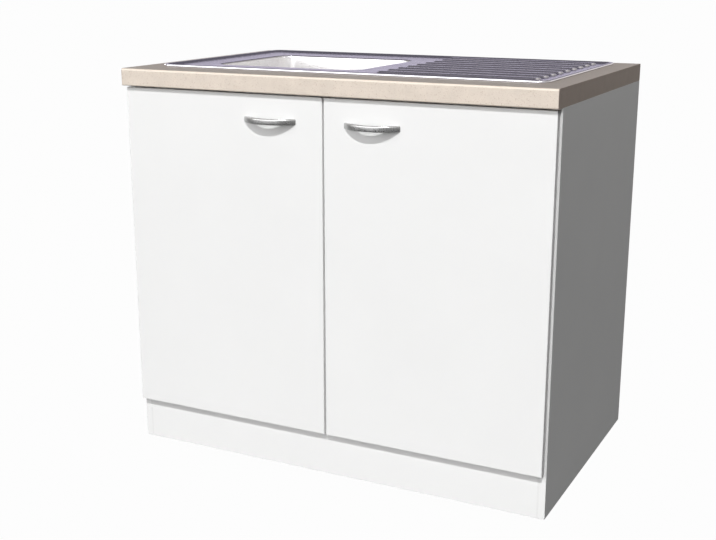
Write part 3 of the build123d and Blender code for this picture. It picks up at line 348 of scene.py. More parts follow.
# ---------------------------------------------------------------- materials
class Nodes:
    """A node tree, put together node by node."""

    def __init__(self, tree):
        self.tree = tree
        self.tree.nodes.clear()

    def node(self, kind, inputs=None, **settings):
        made = self.tree.nodes.new(kind)
        for key, value in settings.items():
            setattr(made, key, value)
        for key, value in (inputs or {}).items():
            self.feed(made.inputs[key], value)
        return made

    def feed(self, socket, value):
        if isinstance(value, bpy.types.NodeSocket):
            self.tree.links.new(value, socket)
        else:
            socket.default_value = value

    def math(self, operation, *values):
        made = self.node("ShaderNodeMath", operation=operation)
        for socket, value in zip(made.inputs, values):
            self.feed(socket, value)
        return made.outputs[0]

    def span(self, value, low, high, to_low=0.0, to_high=1.0):
        """Maps a value evenly from one range to another."""
        made = self.node(
            "ShaderNodeMapRange",
            {
                "Value": value,
                "From Min": low,
                "From Max": high,
                "To Min": to_low,
                "To Max": to_high,
            },
        )
        return made.outputs["Result"]

    def blend(self, factor, first, second):
        """A colour that goes from the first to the second."""
        made = self.node("ShaderNodeMix", {"Factor": factor}, data_type="RGBA")
        for socket, value in ((made.inputs[6], first), (made.inputs[7], second)):
            self.feed(socket, value if isinstance(value, bpy.types.NodeSocket) else (*value, 1))
        return made.outputs[2]

    def switch(self, factor, first, second):
        """A shader that goes from the first to the second."""
        made = self.node("ShaderNodeMixShader", {"Fac": factor})
        self.feed(made.inputs[1], first)
        self.feed(made.inputs[2], second)
        return made.outputs[0]


class Surface(Nodes):
    """A material's node tree."""

    def __init__(self, name):
        self.material = bpy.data.materials.new(name)
        self.material.use_nodes = True
        super().__init__(self.material.node_tree)
        self.output = self.node("ShaderNodeOutputMaterial")
        self.place = self.node("ShaderNodeNewGeometry").outputs["Position"]

    def stretch(self, factors):
        """The position with its axes scaled."""
        made = self.node("ShaderNodeVectorMath", operation="MULTIPLY")
        self.feed(made.inputs[0], self.place)
        self.feed(made.inputs[1], factors)
        return made.outputs[0]

    def noise(self, scale, detail=3.0, factors=None):
        vector = self.stretch(factors) if factors else self.place
        made = self.node("ShaderNodeTexNoise", {"Vector": vector, "Scale": scale, "Detail": detail})
        return made.outputs["Fac"]

    def cells(self, scale, feature="F1"):
        made = self.node(
            "ShaderNodeTexVoronoi", {"Vector": self.place, "Scale": scale}, feature=feature
        )
        return made.outputs

    def bump(self, height, strength, distance):
        made = self.node(
            "ShaderNodeBump", {"Height": height, "Strength": strength, "Distance": distance}
        )
        return made.outputs["Normal"]

    def finish(self, inputs):
        shader = self.node("ShaderNodeBsdfPrincipled", inputs)
        self.tree.links.new(shader.outputs[0], self.output.inputs["Surface"])
        return self.material


def shade(tone, factor):
    """A tone made darker or lighter."""
    return tuple(min(1.0, value * factor) for value in tone)


def board_surface(name, settings, low, high):
    """Melamine with a faint pearl grain and a fine joint at its edge strips."""
    surface = Surface(name)
    split = surface.node("ShaderNodeSeparateXYZ", {"Vector": surface.place}).outputs
    gaps = [
        surface.math(
            "MINIMUM",
            surface.math("SUBTRACT", split[axis], low[axis]),
            surface.math("SUBTRACT", high[axis], split[axis]),
        )
        for axis in range(3)
    ]
    lower = surface.math("MINIMUM", gaps[0], gaps[1])
    upper = surface.math("MAXIMUM", gaps[0], gaps[1])
    middle = surface.math("MAXIMUM", lower, surface.math("MINIMUM", upper, gaps[2]))
    off_joint = surface.math("ABSOLUTE", surface.math("SUBTRACT", middle, settings.edge_band))
    joint = surface.span(off_joint, 0.08 * MM, 0.22 * MM, 1.0, 0.0)
    cloud = surface.span(surface.noise(5.0), 0.35, 0.65)
    tone = surface.blend(cloud, shade(settings.board, 0.985), settings.board)
    tone = surface.blend(joint, tone, shade(settings.board, 0.72))
    grain = surface.noise(2600.0, 2.0)
    return surface.finish({
        "Base Color": tone,
        "Roughness": surface.span(grain, 0.3, 0.7, 0.30, 0.42),
        "Normal": surface.bump(grain, 0.12, 0.08 * MM),
    })


def laminate_surface(name, ground, settings, cut_low=None, cut_high=None):
    """Speckled laminate; the underside and the cut-out show the raw core. The level top carries a painted
    shade and the rounded nose a painted highlight.
    """
    surface = Surface(name)
    cloud = surface.span(surface.noise(38.0, 4.0), 0.3, 0.7)
    tone = surface.blend(cloud, shade(ground, 0.95), shade(ground, 1.04))
    pale = surface.span(surface.cells(900.0)["Distance"], 0.12, 0.3, 0.6, 0.0)
    tone = surface.blend(pale, tone, shade(ground, 1.16))
    for scale, share, strength in ((620.0, 0.34, 0.5), (360.0, 0.14, 0.6)):
        cell = surface.cells(scale)
        picked = surface.math(
            "LESS_THAN",
            surface.node("ShaderNodeSeparateColor", {"Color": cell["Color"]}).outputs[0],
            share,
        )
        dot = surface.span(cell["Distance"], 0.18, 0.42, strength, 0.0)
        tone = surface.blend(surface.math("MULTIPLY", dot, picked), tone, settings.speckle)
    if cut_low is not None:
        raw = raw_core(surface, settings)
        split = surface.node("ShaderNodeSeparateXYZ", {"Vector": surface.place}).outputs
        normal = surface.node("ShaderNodeNewGeometry").outputs["True Normal"]
        up = surface.node("ShaderNodeSeparateXYZ", {"Vector": normal}).outputs[2]
        inside = 1.0
        for axis in range(2):
            inside = surface.math(
                "MULTIPLY", inside, surface.math("GREATER_THAN", split[axis], cut_low[axis])
            )
            inside = surface.math(
                "MULTIPLY", inside, surface.math("LESS_THAN", split[axis], cut_high[axis])
            )
        upright = surface.math("LESS_THAN", surface.math("ABSOLUTE", up), 0.5)
        below = surface.math("LESS_THAN", up, -0.9)
        open_core = surface.math("MULTIPLY", inside, upright)
        # Painted shade: the level top is blended towards a darker copy of the ground tone
        level = surface.span(up, 0.9, 0.995, 0.0, settings.painted_top_shade)
        # Painted highlight: a paler band on the rounded nose, where light catches it
        painted_nose_highlight = surface.span(up, 0.1, 0.5, 0.0, 0.5)
        painted_nose_highlight = surface.math("MULTIPLY", painted_nose_highlight, surface.span(up, 0.7, 0.97, 1.0, 0.0))
        tone = surface.blend(painted_nose_highlight, tone, shade(ground, 1.35))
        tone = surface.blend(level, tone, shade(ground, 0.3))
        tone = surface.blend(below, tone, shade(settings.chipboard, 0.8))
        tone = surface.blend(open_core, tone, raw)
    grain = surface.noise(1500.0, 3.0)
    return surface.finish({
        "Base Color": tone,
        "Roughness": surface.span(grain, 0.3, 0.7, 0.36, 0.5),
        "Normal": surface.bump(grain, 0.18, 0.1 * MM),
    })


def raw_core(surface, settings):
    """The tone of pressed wood chips."""
    chips = surface.cells(420.0)
    mix = surface.node("ShaderNodeSeparateColor", {"Color": chips["Color"]}).outputs[0]
    return surface.blend(mix, shade(settings.chipboard, 0.65), shade(settings.chipboard, 1.35))


def brushed(surface, stroke, rough):
    """Fine strokes along one axis, faint clouds and the roughness that both make."""
    strokes = surface.noise(900.0, 4.0, stroke)
    cloud = surface.span(surface.noise(24.0, 3.0), 0.3, 0.7)
    gloss = surface.math("ADD", surface.span(strokes, 0.3, 0.7, -0.04, 0.05), rough)
    gloss = surface.math("ADD", gloss, surface.span(cloud, 0.0, 1.0, -0.02, 0.02))
    return strokes, cloud, gloss


def metal_surface(name, tone, rough, stroke=(1.0, 1.0, 1.0), depth=0.12):
    """Metal with fine strokes along one axis and faint clouds in its gloss."""
    surface = Surface(name)
    strokes, cloud, gloss = brushed(surface, stroke, rough)
    tint = surface.blend(cloud, shade(tone, 0.96), shade(tone, 1.04))
    tint = surface.blend(surface.span(strokes, 0.3, 0.7, 0.0, 0.35), tint, shade(tone, 0.88))
    return surface.finish({
        "Base Color": tint,
        "Metallic": 1.0,
        "Roughness": gloss,
        "Normal": surface.bump(strokes, depth, 0.05 * MM),
    })


def sink_surface(name, sink):
    """Pressed steel, satin on the drainer; in the bowl a painted lighter tone and less metal stand in for
    light, and the gloss is softer.
    """
    surface = Surface(name)
    height = surface.node("ShaderNodeSeparateXYZ", {"Vector": surface.place}).outputs[2]
    # Painted light: below the drainer the bowl takes the lighter tone and less metal, standing in for the
    # light that falls there
    inside = surface.span(height, DECK_Z - 7 * MM, DECK_Z - 2 * MM, 1.0, 0.0)
    strokes, _, gloss = brushed(surface, ALONG_X, 0.2)
    tone = surface.blend(inside, sink.tone, sink.bowl_painted_light_tone)
    dull = surface.blend(inside, shade(sink.tone, 0.88), shade(sink.bowl_painted_light_tone, 0.94))
    tone = surface.blend(surface.span(strokes, 0.3, 0.7, 0.0, 0.35), tone, dull)
    gloss = surface.math("ADD", gloss, surface.math("MULTIPLY", inside, 0.1))
    return surface.finish({
        "Base Color": tone,
        "Metallic": surface.span(inside, 0.0, 1.0, 1.0, 0.85),
        "Specular Tint": (0.95, 0.94, 1.0, 1),
        "Roughness": gloss,
        "Normal": surface.bump(strokes, 0.12, 0.05 * MM),
    })


def plastic_surface(name, tone, rough, grain_size=700.0, through=0.0):
    """Moulded plastic or rubber with a fine grain."""
    surface = Surface(name)
    cloud = surface.span(surface.noise(30.0, 2.0), 0.3, 0.7)
    grain = surface.noise(grain_size, 3.0)
    return surface.finish({
        "Base Color": surface.blend(cloud, shade(tone, 0.96), tone),
        "Roughness": surface.span(grain, 0.3, 0.7, rough - 0.06, rough + 0.06),
        "Transmission Weight": through,
        "Normal": surface.bump(grain, 0.15, 0.08 * MM),
    })


def coat(node, material):
    """Gives a CAD node its material."""
    mesh_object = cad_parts[node]
    mesh_object.data.materials.clear()
    mesh_object.data.materials.append(material)
    return mesh_object


def ease(node, width, segments=2):
    """Rounds a CAD node's edges a little."""
    mesh_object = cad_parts[node]
    weld = mesh_object.modifiers.new("weld", "WELD")
    weld.merge_threshold = 0.01 * MM
    rounding = mesh_object.modifiers.new("edges", "BEVEL")
    rounding.width = width
    rounding.segments = segments
    rounding.limit_method = "ANGLE"
    rounding.angle_limit = math.radians(40)
    rounding.harden_normals = True
    return mesh_object


def material(name):
    """A finished material of that name."""
    return bpy.data.materials[name]


# -------------------------------------------------------------------- screws
def screw_shape(span, radius, head_radius, head_height, pitch=2.0, pointed=True, dome=0.5):
    """A screw along Z: threaded shank below zero, head with a cross recess above."""
    made = Shape()
    count = 20
    rows = max(8, int(span / (pitch * MM) * 5))
    depth = radius * 0.28
    rings = []
    for row in range(rows + 1):
        share = row / rows
        height = -share * span
        taper = 1.0
        if pointed and share > 0.85:
            taper = max(0.08, (1.0 - share) / 0.15)
        ring = []
        for step in range(count):
            turn = step / count
            phase = (height / (pitch * MM) + turn) % 1.0
            ridge = max(0.0, 1.0 - abs(phase - 0.5) * 3.2)
            plain = 1.0 if share < 0.06 else 0.0
            reach = taper * (radius - depth + depth * max(ridge, plain))
            ring.append(
                (reach * math.cos(2 * math.pi * turn), reach * math.sin(2 * math.pi * turn), height)
            )
        rings.append(ring)
    made.skin(rings, start=True, end=True)
    count = 32
    outline = []
    for share, height in (
        (0.5, 0.0), (1.0, 0.0), (1.0, 1.0 - dome * 0.7), (0.94, 1.0 - dome * 0.35),
        (0.8, 1.0 - dome * 0.1), (0.62, 1.0),
    ):
        outline.append(circle(share * head_radius, count, height * head_height))
    top = head_height
    outline.append(cross_outline(0.5 * head_radius, 0.13 * head_radius, count, top))
    outline.append(cross_outline(0.42 * head_radius, 0.1 * head_radius, count, top * 0.35))
    made.skin(outline, start=True, end=True)
    return made


def screw_places(node, head_height):
    """For every screw of a node: its seat, the way that its head looks and its shank's length."""
    places = []
    for low, high in solids(node):
        size = high - low
        axis = max(range(3), key=lambda index: size[index])
        middle = (low + high) / 2
        direction = Vector((0, 0, 0))
        if axis == 0:
            direction.x = -1 if middle.x > 0 else 1
        elif axis == 1:
            direction.y = 1
        else:
            direction.z = -1
        seat = middle + direction * (size[axis] / 2 - head_height)
        places.append((seat, direction, size[axis] - head_height))
    return places


def build_screws(node, body, radius, head_radius, head_height, finish, **form):
    """All screws of a node with real threads and cross recesses."""
    made = Shape()
    for seat, direction, span in screw_places(node, head_height * MM):
        plan = screw_shape(span, radius * MM, head_radius * MM, head_height * MM, **form)
        made.merge(plan, facing(seat, direction))
    return made.detail(node, body, finish)


# ----------------------------------------------------------------- operators
class Step(bpy.types.Operator):
    """Shared by the building steps."""

    bl_options = {"REGISTER", "UNDO"}

    def execute(self, context):
        self.make(context.scene)
        return {"FINISHED"}


class SINKUNIT_OT_materials(Step):
    """Mixes the materials that the pieces share"""

    bl_idname = "sinkunit.materials"
    bl_label = "Materials"

    def make(self, scene):
        ware = scene.sinkunit_hardware
        sink_surface("pressed_steel", scene.sinkunit_sink)
        metal_surface("satin_nickel", ware.satin, 0.28, ALONG_X)
        metal_surface("bright_nickel", ware.nickel, 0.18, depth=0.05)
        metal_surface("zinc_plate", ware.zinc, 0.34, depth=0.2)
        plastic_surface("white_polypropylene", ware.plastic, 0.38)
        plastic_surface("seal_rubber", ware.rubber, 0.62, 1800.0)
        plastic_surface("clear_polyurethane", ware.buffer, 0.16, 900.0, 0.55)


class SINKUNIT_OT_boards(Step):
    """Finishes the boards of the carcase"""

    bl_idname = "sinkunit.boards"
    bl_label = "Carcase Boards"

    def make(self, scene):
        cabinet = scene.sinkunit_cabinet
        names = ["side_panel_left", "side_panel_right", "bottom_panel", "plinth_board"]
        names += ["front_top_rail", "back_top_rail", "back_bottom_rail"]
        for name in names:
            low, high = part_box(name)
            coat(name, board_surface(name + "_melamine", cabinet, low, high))
            ease(name, cabinet.edge_round)


class SINKUNIT_OT_doors(Step):
    """Finishes both doors"""

    bl_idname = "sinkunit.doors"
    bl_label = "Doors"

    def make(self, scene):
        cabinet = scene.sinkunit_cabinet
        for name in ("door_left", "door_right"):
            low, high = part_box(name)
            coat(name, board_surface(name + "_melamine", cabinet, low, high))
            ease(name, 2 * cabinet.edge_round, 3)


class SINKUNIT_OT_worktop(Step):
    """Finishes the worktop and its end strips"""

    bl_idname = "sinkunit.worktop"
    bl_label = "Worktop"

    def make(self, scene):
        cabinet = scene.sinkunit_cabinet
        low = SINK_LOW + Vector((5 * MM, 5 * MM, 0))
        high = SINK_HIGH - Vector((5 * MM, 5 * MM, 0))
        coat("worktop", laminate_surface("speckled_laminate", cabinet.laminate, cabinet, low, high))
        edging = laminate_surface("speckled_edging", cabinet.edging, cabinet)
        for side in ("left", "right"):
            coat("worktop_end_strip_" + side, edging)


def sink_rings(sink):
    """The rings of the rim, from its rolled edge in to the level drainer."""
    x = (SINK_LOW.x + SINK_HIGH.x) / 2
    y = (SINK_LOW.y + SINK_HIGH.y) / 2
    width = SINK_HIGH.x - SINK_LOW.x
    depth = SINK_HIGH.y - SINK_LOW.y
    top = SINK_HIGH.z
    profile = [
        (0.15, -4.7), (0.0, -4.0), (0.0, -2.9), (0.3, -1.7), (1.0, -0.75), (2.0, -0.2), (3.3, 0.0),
        (5.0, 0.0), (6.6, -0.15), (8.2, -0.6), (10.2, -1.4), (12.6, -2.5), (14.6, -3.3),
        (16.4, -3.8), (17.8, -3.97), (19.0, -4.0),
    ]
    rings = []
    for inset, drop in profile:
        inward = inset * MM
        rings.append(
            rounded_outline(
                x, y, width - 2 * inward, depth - 2 * inward, sink.corner - inward, top + drop * MM
            )
        )
    return rings


def bowl_rings(sink):
    """The rings of the bowl, from its lip down to the waste hole."""
    slope = math.tan(sink.bowl_draft)
    turn = math.pi / 2 - sink.bowl_draft
    lip = sink.bowl_lip
    lip_run = lip * math.tan(turn / 2)
    floor = DECK_Z - sink.bowl_depth
    foot = sink.bowl_floor_radius
    foot_run = foot * math.tan(turn / 2)
    centre = -sink.bowl_depth * slope - foot_run
    profile = []
    for step in range(9):
        angle = turn * step / 8
        profile.append((lip_run - lip * math.sin(angle), DECK_Z - lip * (1 - math.cos(angle))))
    low = floor + foot - foot * math.sin(sink.bowl_draft)
    high = profile[-1][1]
    for step in range(1, 12):
        z = high + (low - high) * step / 12
        profile.append((-(DECK_Z - z) * slope, z))
    for step in range(13):
        angle = sink.bowl_draft + (math.pi / 2 - sink.bowl_draft) * step / 12
        profile.append((centre + foot * math.cos(angle), floor + foot * (1 - math.sin(angle))))
    rings = [
        rounded_outline(
            sink.bowl_x,
            sink.bowl_y,
            sink.bowl_width + 2 * grow,
            sink.bowl_length + 2 * grow,
            sink.bowl_corner + grow,
            z,
        )
        for grow, z in profile
    ]
    inner = rings[-1]
    dish = [
        (sink.dish_radius + 2 * MM, 0.0), (sink.dish_radius, 0.08),
        (sink.dish_radius - 1.2 * MM, 0.35), (sink.dish_radius - 2.2 * MM, 0.75),
        (sink.dish_radius - 3.2 * MM, 0.97), (sink.dish_radius - 4.2 * MM, 1.0),
        (sink.waste_radius, 1.0),
    ]
    for radius, share in dish:
        ring = []
        for point in inner:
            angle = math.atan2(point[1] - sink.bowl_y, point[0] - sink.bowl_x)
            ring.append(
                (
                    sink.bowl_x + radius * math.cos(angle),
                    sink.bowl_y + radius * math.sin(angle),
                    floor - share * sink.dish_depth,
                )
            )
        rings.append(ring)
    return rings


def rib_rings(sink, y):
    """The rings of one raised rib, from its foot to its crest."""
    x = (sink.rib_left + sink.rib_right) / 2
    span = sink.rib_right - sink.rib_left
    flank = (sink.rib_width - sink.rib_crest) / 2
    rings = []
    for share in (0.0, 0.15, 0.3, 0.45, 0.6, 0.75, 0.9, 1.05, 1.25, 1.5, 1.75):
        rise = min(1.0, share)
        rise = rise * rise * (3 - 2 * rise)
        crown = 0.06 * min(1.0, max(0.0, share - 1.0) / 0.75)
        inward = share * flank
        width = sink.rib_width - 2 * inward
        ring = rounded_outline(
            x,
            y,
            span - 2 * inward,
            width,
            width / 2 - 0.01 * MM,
            DECK_Z + (rise + crown) * sink.rib_height,
            8,
        )
        rings.append(ring)
    return rings


def inside_ring(point, ring):
    """Whether a level point lies inside a closed outline."""
    x, y = point
    odd = False
    for (x0, y0, _), (x1, y1, _) in zip(ring, ring[1:] + ring[:1]):
        if (y0 > y) != (y1 > y) and x < x0 + (y - y0) / (y1 - y0) * (x1 - x0):
            odd = not odd
    return odd


def fill_deck(shape, outer, holes):
    """Fills the level deck between its outline and the outlines of its holes."""
    points = []
    edges = []
    height = outer[0][2]
    for ring in [outer] + holes:
        base = len(points)
        points.extend(Vector(point[:2]) for point in ring)
        edges.extend((base + step, base + (step + 1) % len(ring)) for step in range(len(ring)))
    flat_points, _, triangles, _, _, _ = delaunay_2d_cdt(points, edges, [], 0, 1e-7)
    base = len(shape.points)
    shape.points.extend(Vector((point[0], point[1], height)) for point in flat_points)
    for triangle in triangles:
        middle = sum((flat_points[index] for index in triangle), Vector((0, 0))) / 3
        if inside_ring(middle, outer) and not any(inside_ring(middle, hole) for hole in holes):
            shape.faces.append(tuple(base + index for index in triangle))


class SINKUNIT_OT_sink(Step):
    """Presses the sink: rolled rim, drainer ribs and bowl in one smooth sheet"""

    bl_idname = "sinkunit.sink"
    bl_label = "Sink"

    def make(self, scene):
        sink = scene.sinkunit_sink
        rim = sink_rings(sink)
        bowl = bowl_rings(sink)
        ribs = [
            rib_rings(sink, sink.rib_first_y + step * sink.rib_pitch)
            for step in range(sink.rib_count)
        ]
        pressed = Shape()
        pressed.skin(rim)
        pressed.skin(bowl)
        for rings in ribs:
            pressed.skin(rings, end=True)
        fill_deck(pressed, rim[-1], [bowl[0]] + [rings[0] for rings in ribs])
        made = pressed.build("pressed_sink", "cabinet", "pressed_steel", ["sink"], math.radians(60))
        work = bmesh.new()
        work.from_mesh(made.data)
        bmesh.ops.recalc_face_normals(work, faces=work.faces)
        level = max(work.faces, key=lambda face: face.calc_area())
        if level.normal.z < 0:
            bmesh.ops.reverse_faces(work, faces=work.faces)
        work.to_mesh(made.data)
        work.free()
        sheet = made.modifiers.new("sheet", "SOLIDIFY")
        sheet.thickness = sink.sheet
        sheet.offset = -1
        hole = [(sink.overflow_radius, height) for height in (-6 * MM, 6 * MM)]
        cut(made, Shape().turn(hole, overflow_place(sink), start=True, end=True))
        even = made.modifiers.new("even", "WEIGHTED_NORMAL")
        even.keep_sharp = True


class SINKUNIT_OT_handles(Step):
    """Bends the two crescent bow handles"""

    bl_idname = "sinkunit.handles"
    bl_label = "Handles"

    def make(self, scene):
        ware = scene.sinkunit_hardware
        for side in ("left", "right"):
            low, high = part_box("handle_" + side)
            half = (high.x - low.x) / 2
            rise = high.y - low.y
            tall = (high.z - low.z) / 2
            outer = bow_arc(half, rise)
            inner = bow_arc(half - ware.handle_foot, rise - ware.handle_strap)
            middle = ((low.x + high.x) / 2, high.y, (low.z + high.z) / 2)
            rings = []
            for step in range(BOW_STEPS + 1):
                share = 2 * step / BOW_STEPS - 1
                far, near = outer(share), inner(share)
                rings.append(bow_section(far, near, tall, middle, ware.handle_round))
            made = Shape().skin(rings, start=True, end=True)
            name = "handle_" + side
            made.build("bow_" + name, side + "_door", "satin_nickel", [name], math.radians(50))


def bow_arc(half, rise):
    """Points of the arc through both feet and the crown; share runs from -1 to 1."""
    radius = (half * half + rise * rise) / (2 * rise)
    reach = math.asin(half / radius)

    def spot(share):
        angle = share * reach
        return Vector((radius * math.sin(angle), rise - radius + radius * math.cos(angle)))

    return spot


def bow_section(far, near, tall, middle, outer_round):
    """Points round the bow's section, with larger roundings on its outer side."""
    inner_round = 1.2 * MM
    x, y, z = middle
    across = far - near
    thick = across.length
    across.normalize()
    ring = []
    corners = ((1, 1), (0, 1), (0, -1), (1, -1))
    for first, (out, up) in enumerate(corners):
        curve = outer_round if out else inner_round
        for turn in range(9):
            angle = (first + turn / 8) * math.pi / 2
            reach = (thick - curve if out else curve) + curve * math.cos(angle)
            height = up * (tall - curve) + curve * math.sin(angle)
            spot = near + across * reach
            ring.append((x + spot.x, y - spot.y, z + height))
    return ring


class SINKUNIT_OT_hinges(Step):
    """Finishes the hinges' cups, arms, plates and pins"""

    bl_idname = "sinkunit.hinges"
    bl_label = "Hinges"

    def make(self, scene):
        for name in ("hinge_cups_left", "hinge_cups_right", "hinge_arms", "hinge_mount_plates"):
            coat(name, material("bright_nickel"))
            ease(name, 0.25 * MM)
        for side in ("left", "right"):
            node = "hinge_pins_" + side
            made = Shape()
            for low, high in solids(node):
                radius = (high.x - low.x) / 2
                span = high.z - low.z
                middle = (low + high) / 2
                profile = [
                    (radius * 0.3, 0.0), (radius * 0.75, 0.1 * MM), (radius, 0.5 * MM),
                    (radius, span - 0.5 * MM), (radius * 0.75, span - 0.1 * MM),
                    (radius * 0.3, span),
                ]
                place = Matrix.Translation((middle.x, middle.y, low.z))
                made.turn(profile, place, 24, start=True, end=True)
            made.detail(node, side + "_door", "bright_nickel")


class SINKUNIT_OT_screws(Step):
    """Makes all screws with their threads and cross recesses"""

    bl_idname = "sinkunit.screws"
    bl_label = "Screws"

    def make(self, scene):
        for side in ("left", "right"):
            door = side + "_door"
            build_screws("hinge_cup_screws_" + side, door, 1.75, 3.4, 1.5, "zinc_plate", pitch=1.4)
            build_screws(
                "handle_screws_" + side, door, 2.0, 4.0, 2.2, "zinc_plate", pitch=0.8, pointed=False
            )
        build_screws("hinge_plate_screws", "cabinet", 2.0, 3.6, 1.8, "zinc_plate", pitch=1.6)
        build_screws(
            "hinge_clamp_screws", "cabinet", 2.5, 4.2, 1.6, "zinc_plate", pitch=0.9, pointed=False
        )
        build_screws("worktop_bracket_screws", "cabinet", 2.0, 3.8, 2.0, "zinc_plate", pitch=1.6)


class SINKUNIT_OT_fixings(Step):
    """Makes the cam locks, their bolts, the brackets, the clips and the buffers"""

    bl_idname = "sinkunit.fixings"
    bl_label = "Fixings"

    def make(self, scene):
        cams = Shape()
        for low, high in solids("cam_locks"):
            size = high - low
            axis = min(range(3), key=lambda index: size[index])
            middle = (low + high) / 2
            direction = Vector((0, 0, 0))
            direction[axis] = -1 if axis == 2 or middle.y > 0 else 1
            seat = middle + direction * size[axis] / 2
            cams.merge(cam_shape(size[axis]), facing(seat, direction))
        cams.detail("cam_locks", "cabinet", "zinc_plate")
        bolts = Shape()
        for low, high in solids("cam_bolts"):
            inward = -1 if low.x > 0 else 1
            outer_x = high.x if inward < 0 else low.x
            seat = Vector((outer_x, (low.y + high.y) / 2, (low.z + high.z) / 2))
            bolts.merge(bolt_shape(high.x - low.x), facing(seat, (inward, 0, 0)))
        bolts.detail("cam_bolts", "cabinet", "zinc_plate")
        for name in ("worktop_brackets", "sink_clips"):
            coat(name, material("zinc_plate"))
            ease(name, 0.3 * MM)
        thumbs = Shape()
        for low, high in solids("sink_clip_screws"):
            size = high - low
            middle = (low + high) / 2
            turn = 0 if size.x > size.y else math.pi / 2
            place = Matrix.Translation((middle.x, middle.y, high.z)) @ Matrix.Rotation(turn, 4, "Z")
            thumbs.merge(thumb_screw_shape(size.z, max(size.x, size.y)), place)
        thumbs.detail("sink_clip_screws", "cabinet", "zinc_plate")
        coat("sink_seal", material("seal_rubber"))
        for side in ("left", "right"):
            node = "door_buffers_" + side
            pads = Shape()
            for low, high in solids(node):
                thick = high.y - low.y
                radius = (high.x - low.x) / 2
                profile = [(radius, 0.0), (radius, thick - radius * 0.55)]
                for step in range(1, 8):
                    angle = step / 8 * math.pi / 2
                    profile.append(
                        (radius * math.cos(angle), thick - radius * 0.55 * (1 - math.sin(angle)))
                    )
                middle = (low + high) / 2
                place = facing((middle.x, low.y, middle.z), (0, 1, 0))
                pads.turn(profile, place, 32, start=True, end=True)
            pads.detail(node, side + "_door", "clear_polyurethane")


def cam_shape(depth):
    """A cam lock below its face: rimmed drum, cross recess and an arrow."""
    radius = 7.5 * MM
    made = Shape()
    count = 48
    rings = []
    for share, height in (
        (0.5, -depth), (0.96, -depth), (1.0, -depth + 0.4 * MM), (1.0, -depth * 0.62),
        (0.9, -depth * 0.58), (0.9, -depth * 0.3), (1.0, -depth * 0.26), (1.0, -0.3 * MM),
        (0.96, 0.0), (0.86, 0.0), (0.83, -0.25 * MM), (0.7, -0.25 * MM),
    ):
        rings.append(circle(share * radius, count, height))
    rings.append(cross_outline(4.6 * MM, 0.9 * MM, count, -0.25 * MM))
    rings.append(cross_outline(4.0 * MM, 0.7 * MM, count, -2.6 * MM))
    made.skin(rings, start=True, end=True)
    arrow = [[(-1.0, 5.0, z), (1.0, 5.0, z), (0.0, 6.1, z)] for z in (-0.3, -0.02)]
    made.skin([[tuple(value * MM for value in spot) for spot in ring] for ring in arrow], end=True)
    return made


def bolt_shape(span):
    """A cam bolt along Z: thread for the panel, collar, neck and head."""
    made = screw_shape(10 * MM, 3.0 * MM, 2.9 * MM, 0.6 * MM, pitch=1.8, pointed=False)
    turned = Shape().merge(made, Matrix.Translation((0, 0, 10 * MM)))
    profile = [
        (1.6, 10.4), (2.9, 10.6), (2.9, 11.6), (2.0, 12.0), (1.9, span / MM - 5.0),
        (1.5, span / MM - 4.4), (1.5, span / MM - 3.0), (2.6, span / MM - 2.4),
        (2.9, span / MM - 1.3), (2.4, span / MM - 0.3), (1.2, span / MM),
    ]
    return turned.turn(scaled(profile), count=24, start=True, end=True)


def thumb_screw_shape(span, wing_span):
    """A thumb screw hanging down from z = 0 with two rounded wings at its end."""
    made = Shape()
    plain = screw_shape(span - 3 * MM, 2.5 * MM, 2.4 * MM, 0.4 * MM, pitch=1.2, pointed=False)
    made.merge(plain, Matrix.Translation((0, 0, -0.4 * MM)))
    tall = 3.5 * MM
    for side in (-1, 1):
        rings = []
        for y in (-0.75 * MM, 0.75 * MM):
            ring = []
            for step in range(24):
                angle = 2 * math.pi * step / 24
                reach = 0.25 * wing_span
                ring.append(
                    (
                        side * reach + reach * math.cos(angle),
                        y,
                        -span + tall + tall * math.sin(angle),
                    )
                )
            rings.append(ring)
        made.skin(rings, start=True, end=True)
    return made


def sink_place(scene, z=0.0):
    """A matrix at the bowl's middle line."""
    sink = scene.sinkunit_sink
    return Matrix.Translation((sink.bowl_x, sink.bowl_y, z))


def upright(node):
    """Lowest height of a round node, then its height and its radius in millimetres."""
    low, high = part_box(node)
    return low.z, (high.z - low.z) / MM, (high.x - low.x) / 2 / MM


def scaled(profile):
    """Radius and height pairs given in millimetres, in metres."""
    return [(pair[0] * MM, pair[1] * MM, *pair[2:]) for pair in profile]


def threads(radius, low, high, pitch, depth):
    """Ridged profile pairs from a low to a high height, in millimetres."""
    pairs = []
    count = max(1, int((high - low) / pitch))
    for step in range(count):
        base = low + (high - low) * step / count
        rise = (high - low) / count
        pairs.append((radius - depth, base + 0.1 * rise))
        pairs.append((radius, base + 0.45 * rise))
        pairs.append((radius, base + 0.6 * rise))
        pairs.append((radius - depth, base + 0.95 * rise))
    return pairs


def slot_ring(count, middle, span, low, high, place):
    """A ring of rounded slots to cut with, in millimetres but for its place."""
    made = Shape()
    for step in range(count):
        turn = Matrix.Rotation(math.radians(360 / count * step), 4, "Z")
        rings = [
            rounded_outline(middle * MM, 0, span * MM, 3 * MM, 1.49 * MM, z * MM, 5)
            for z in (low, high)
        ]
        made.skin(rings, start=True, end=True, place=place @ turn)
    return made


def overflow_place(sink):
    """A matrix at the overflow hole, with +Z pointing into the bowl."""
    slope = math.tan(sink.bowl_draft)
    wall_x = sink.bowl_x + sink.bowl_width / 2 - (DECK_Z - sink.overflow_z) * slope
    return facing((wall_x, sink.bowl_y, sink.overflow_z), (-1, 0, slope))


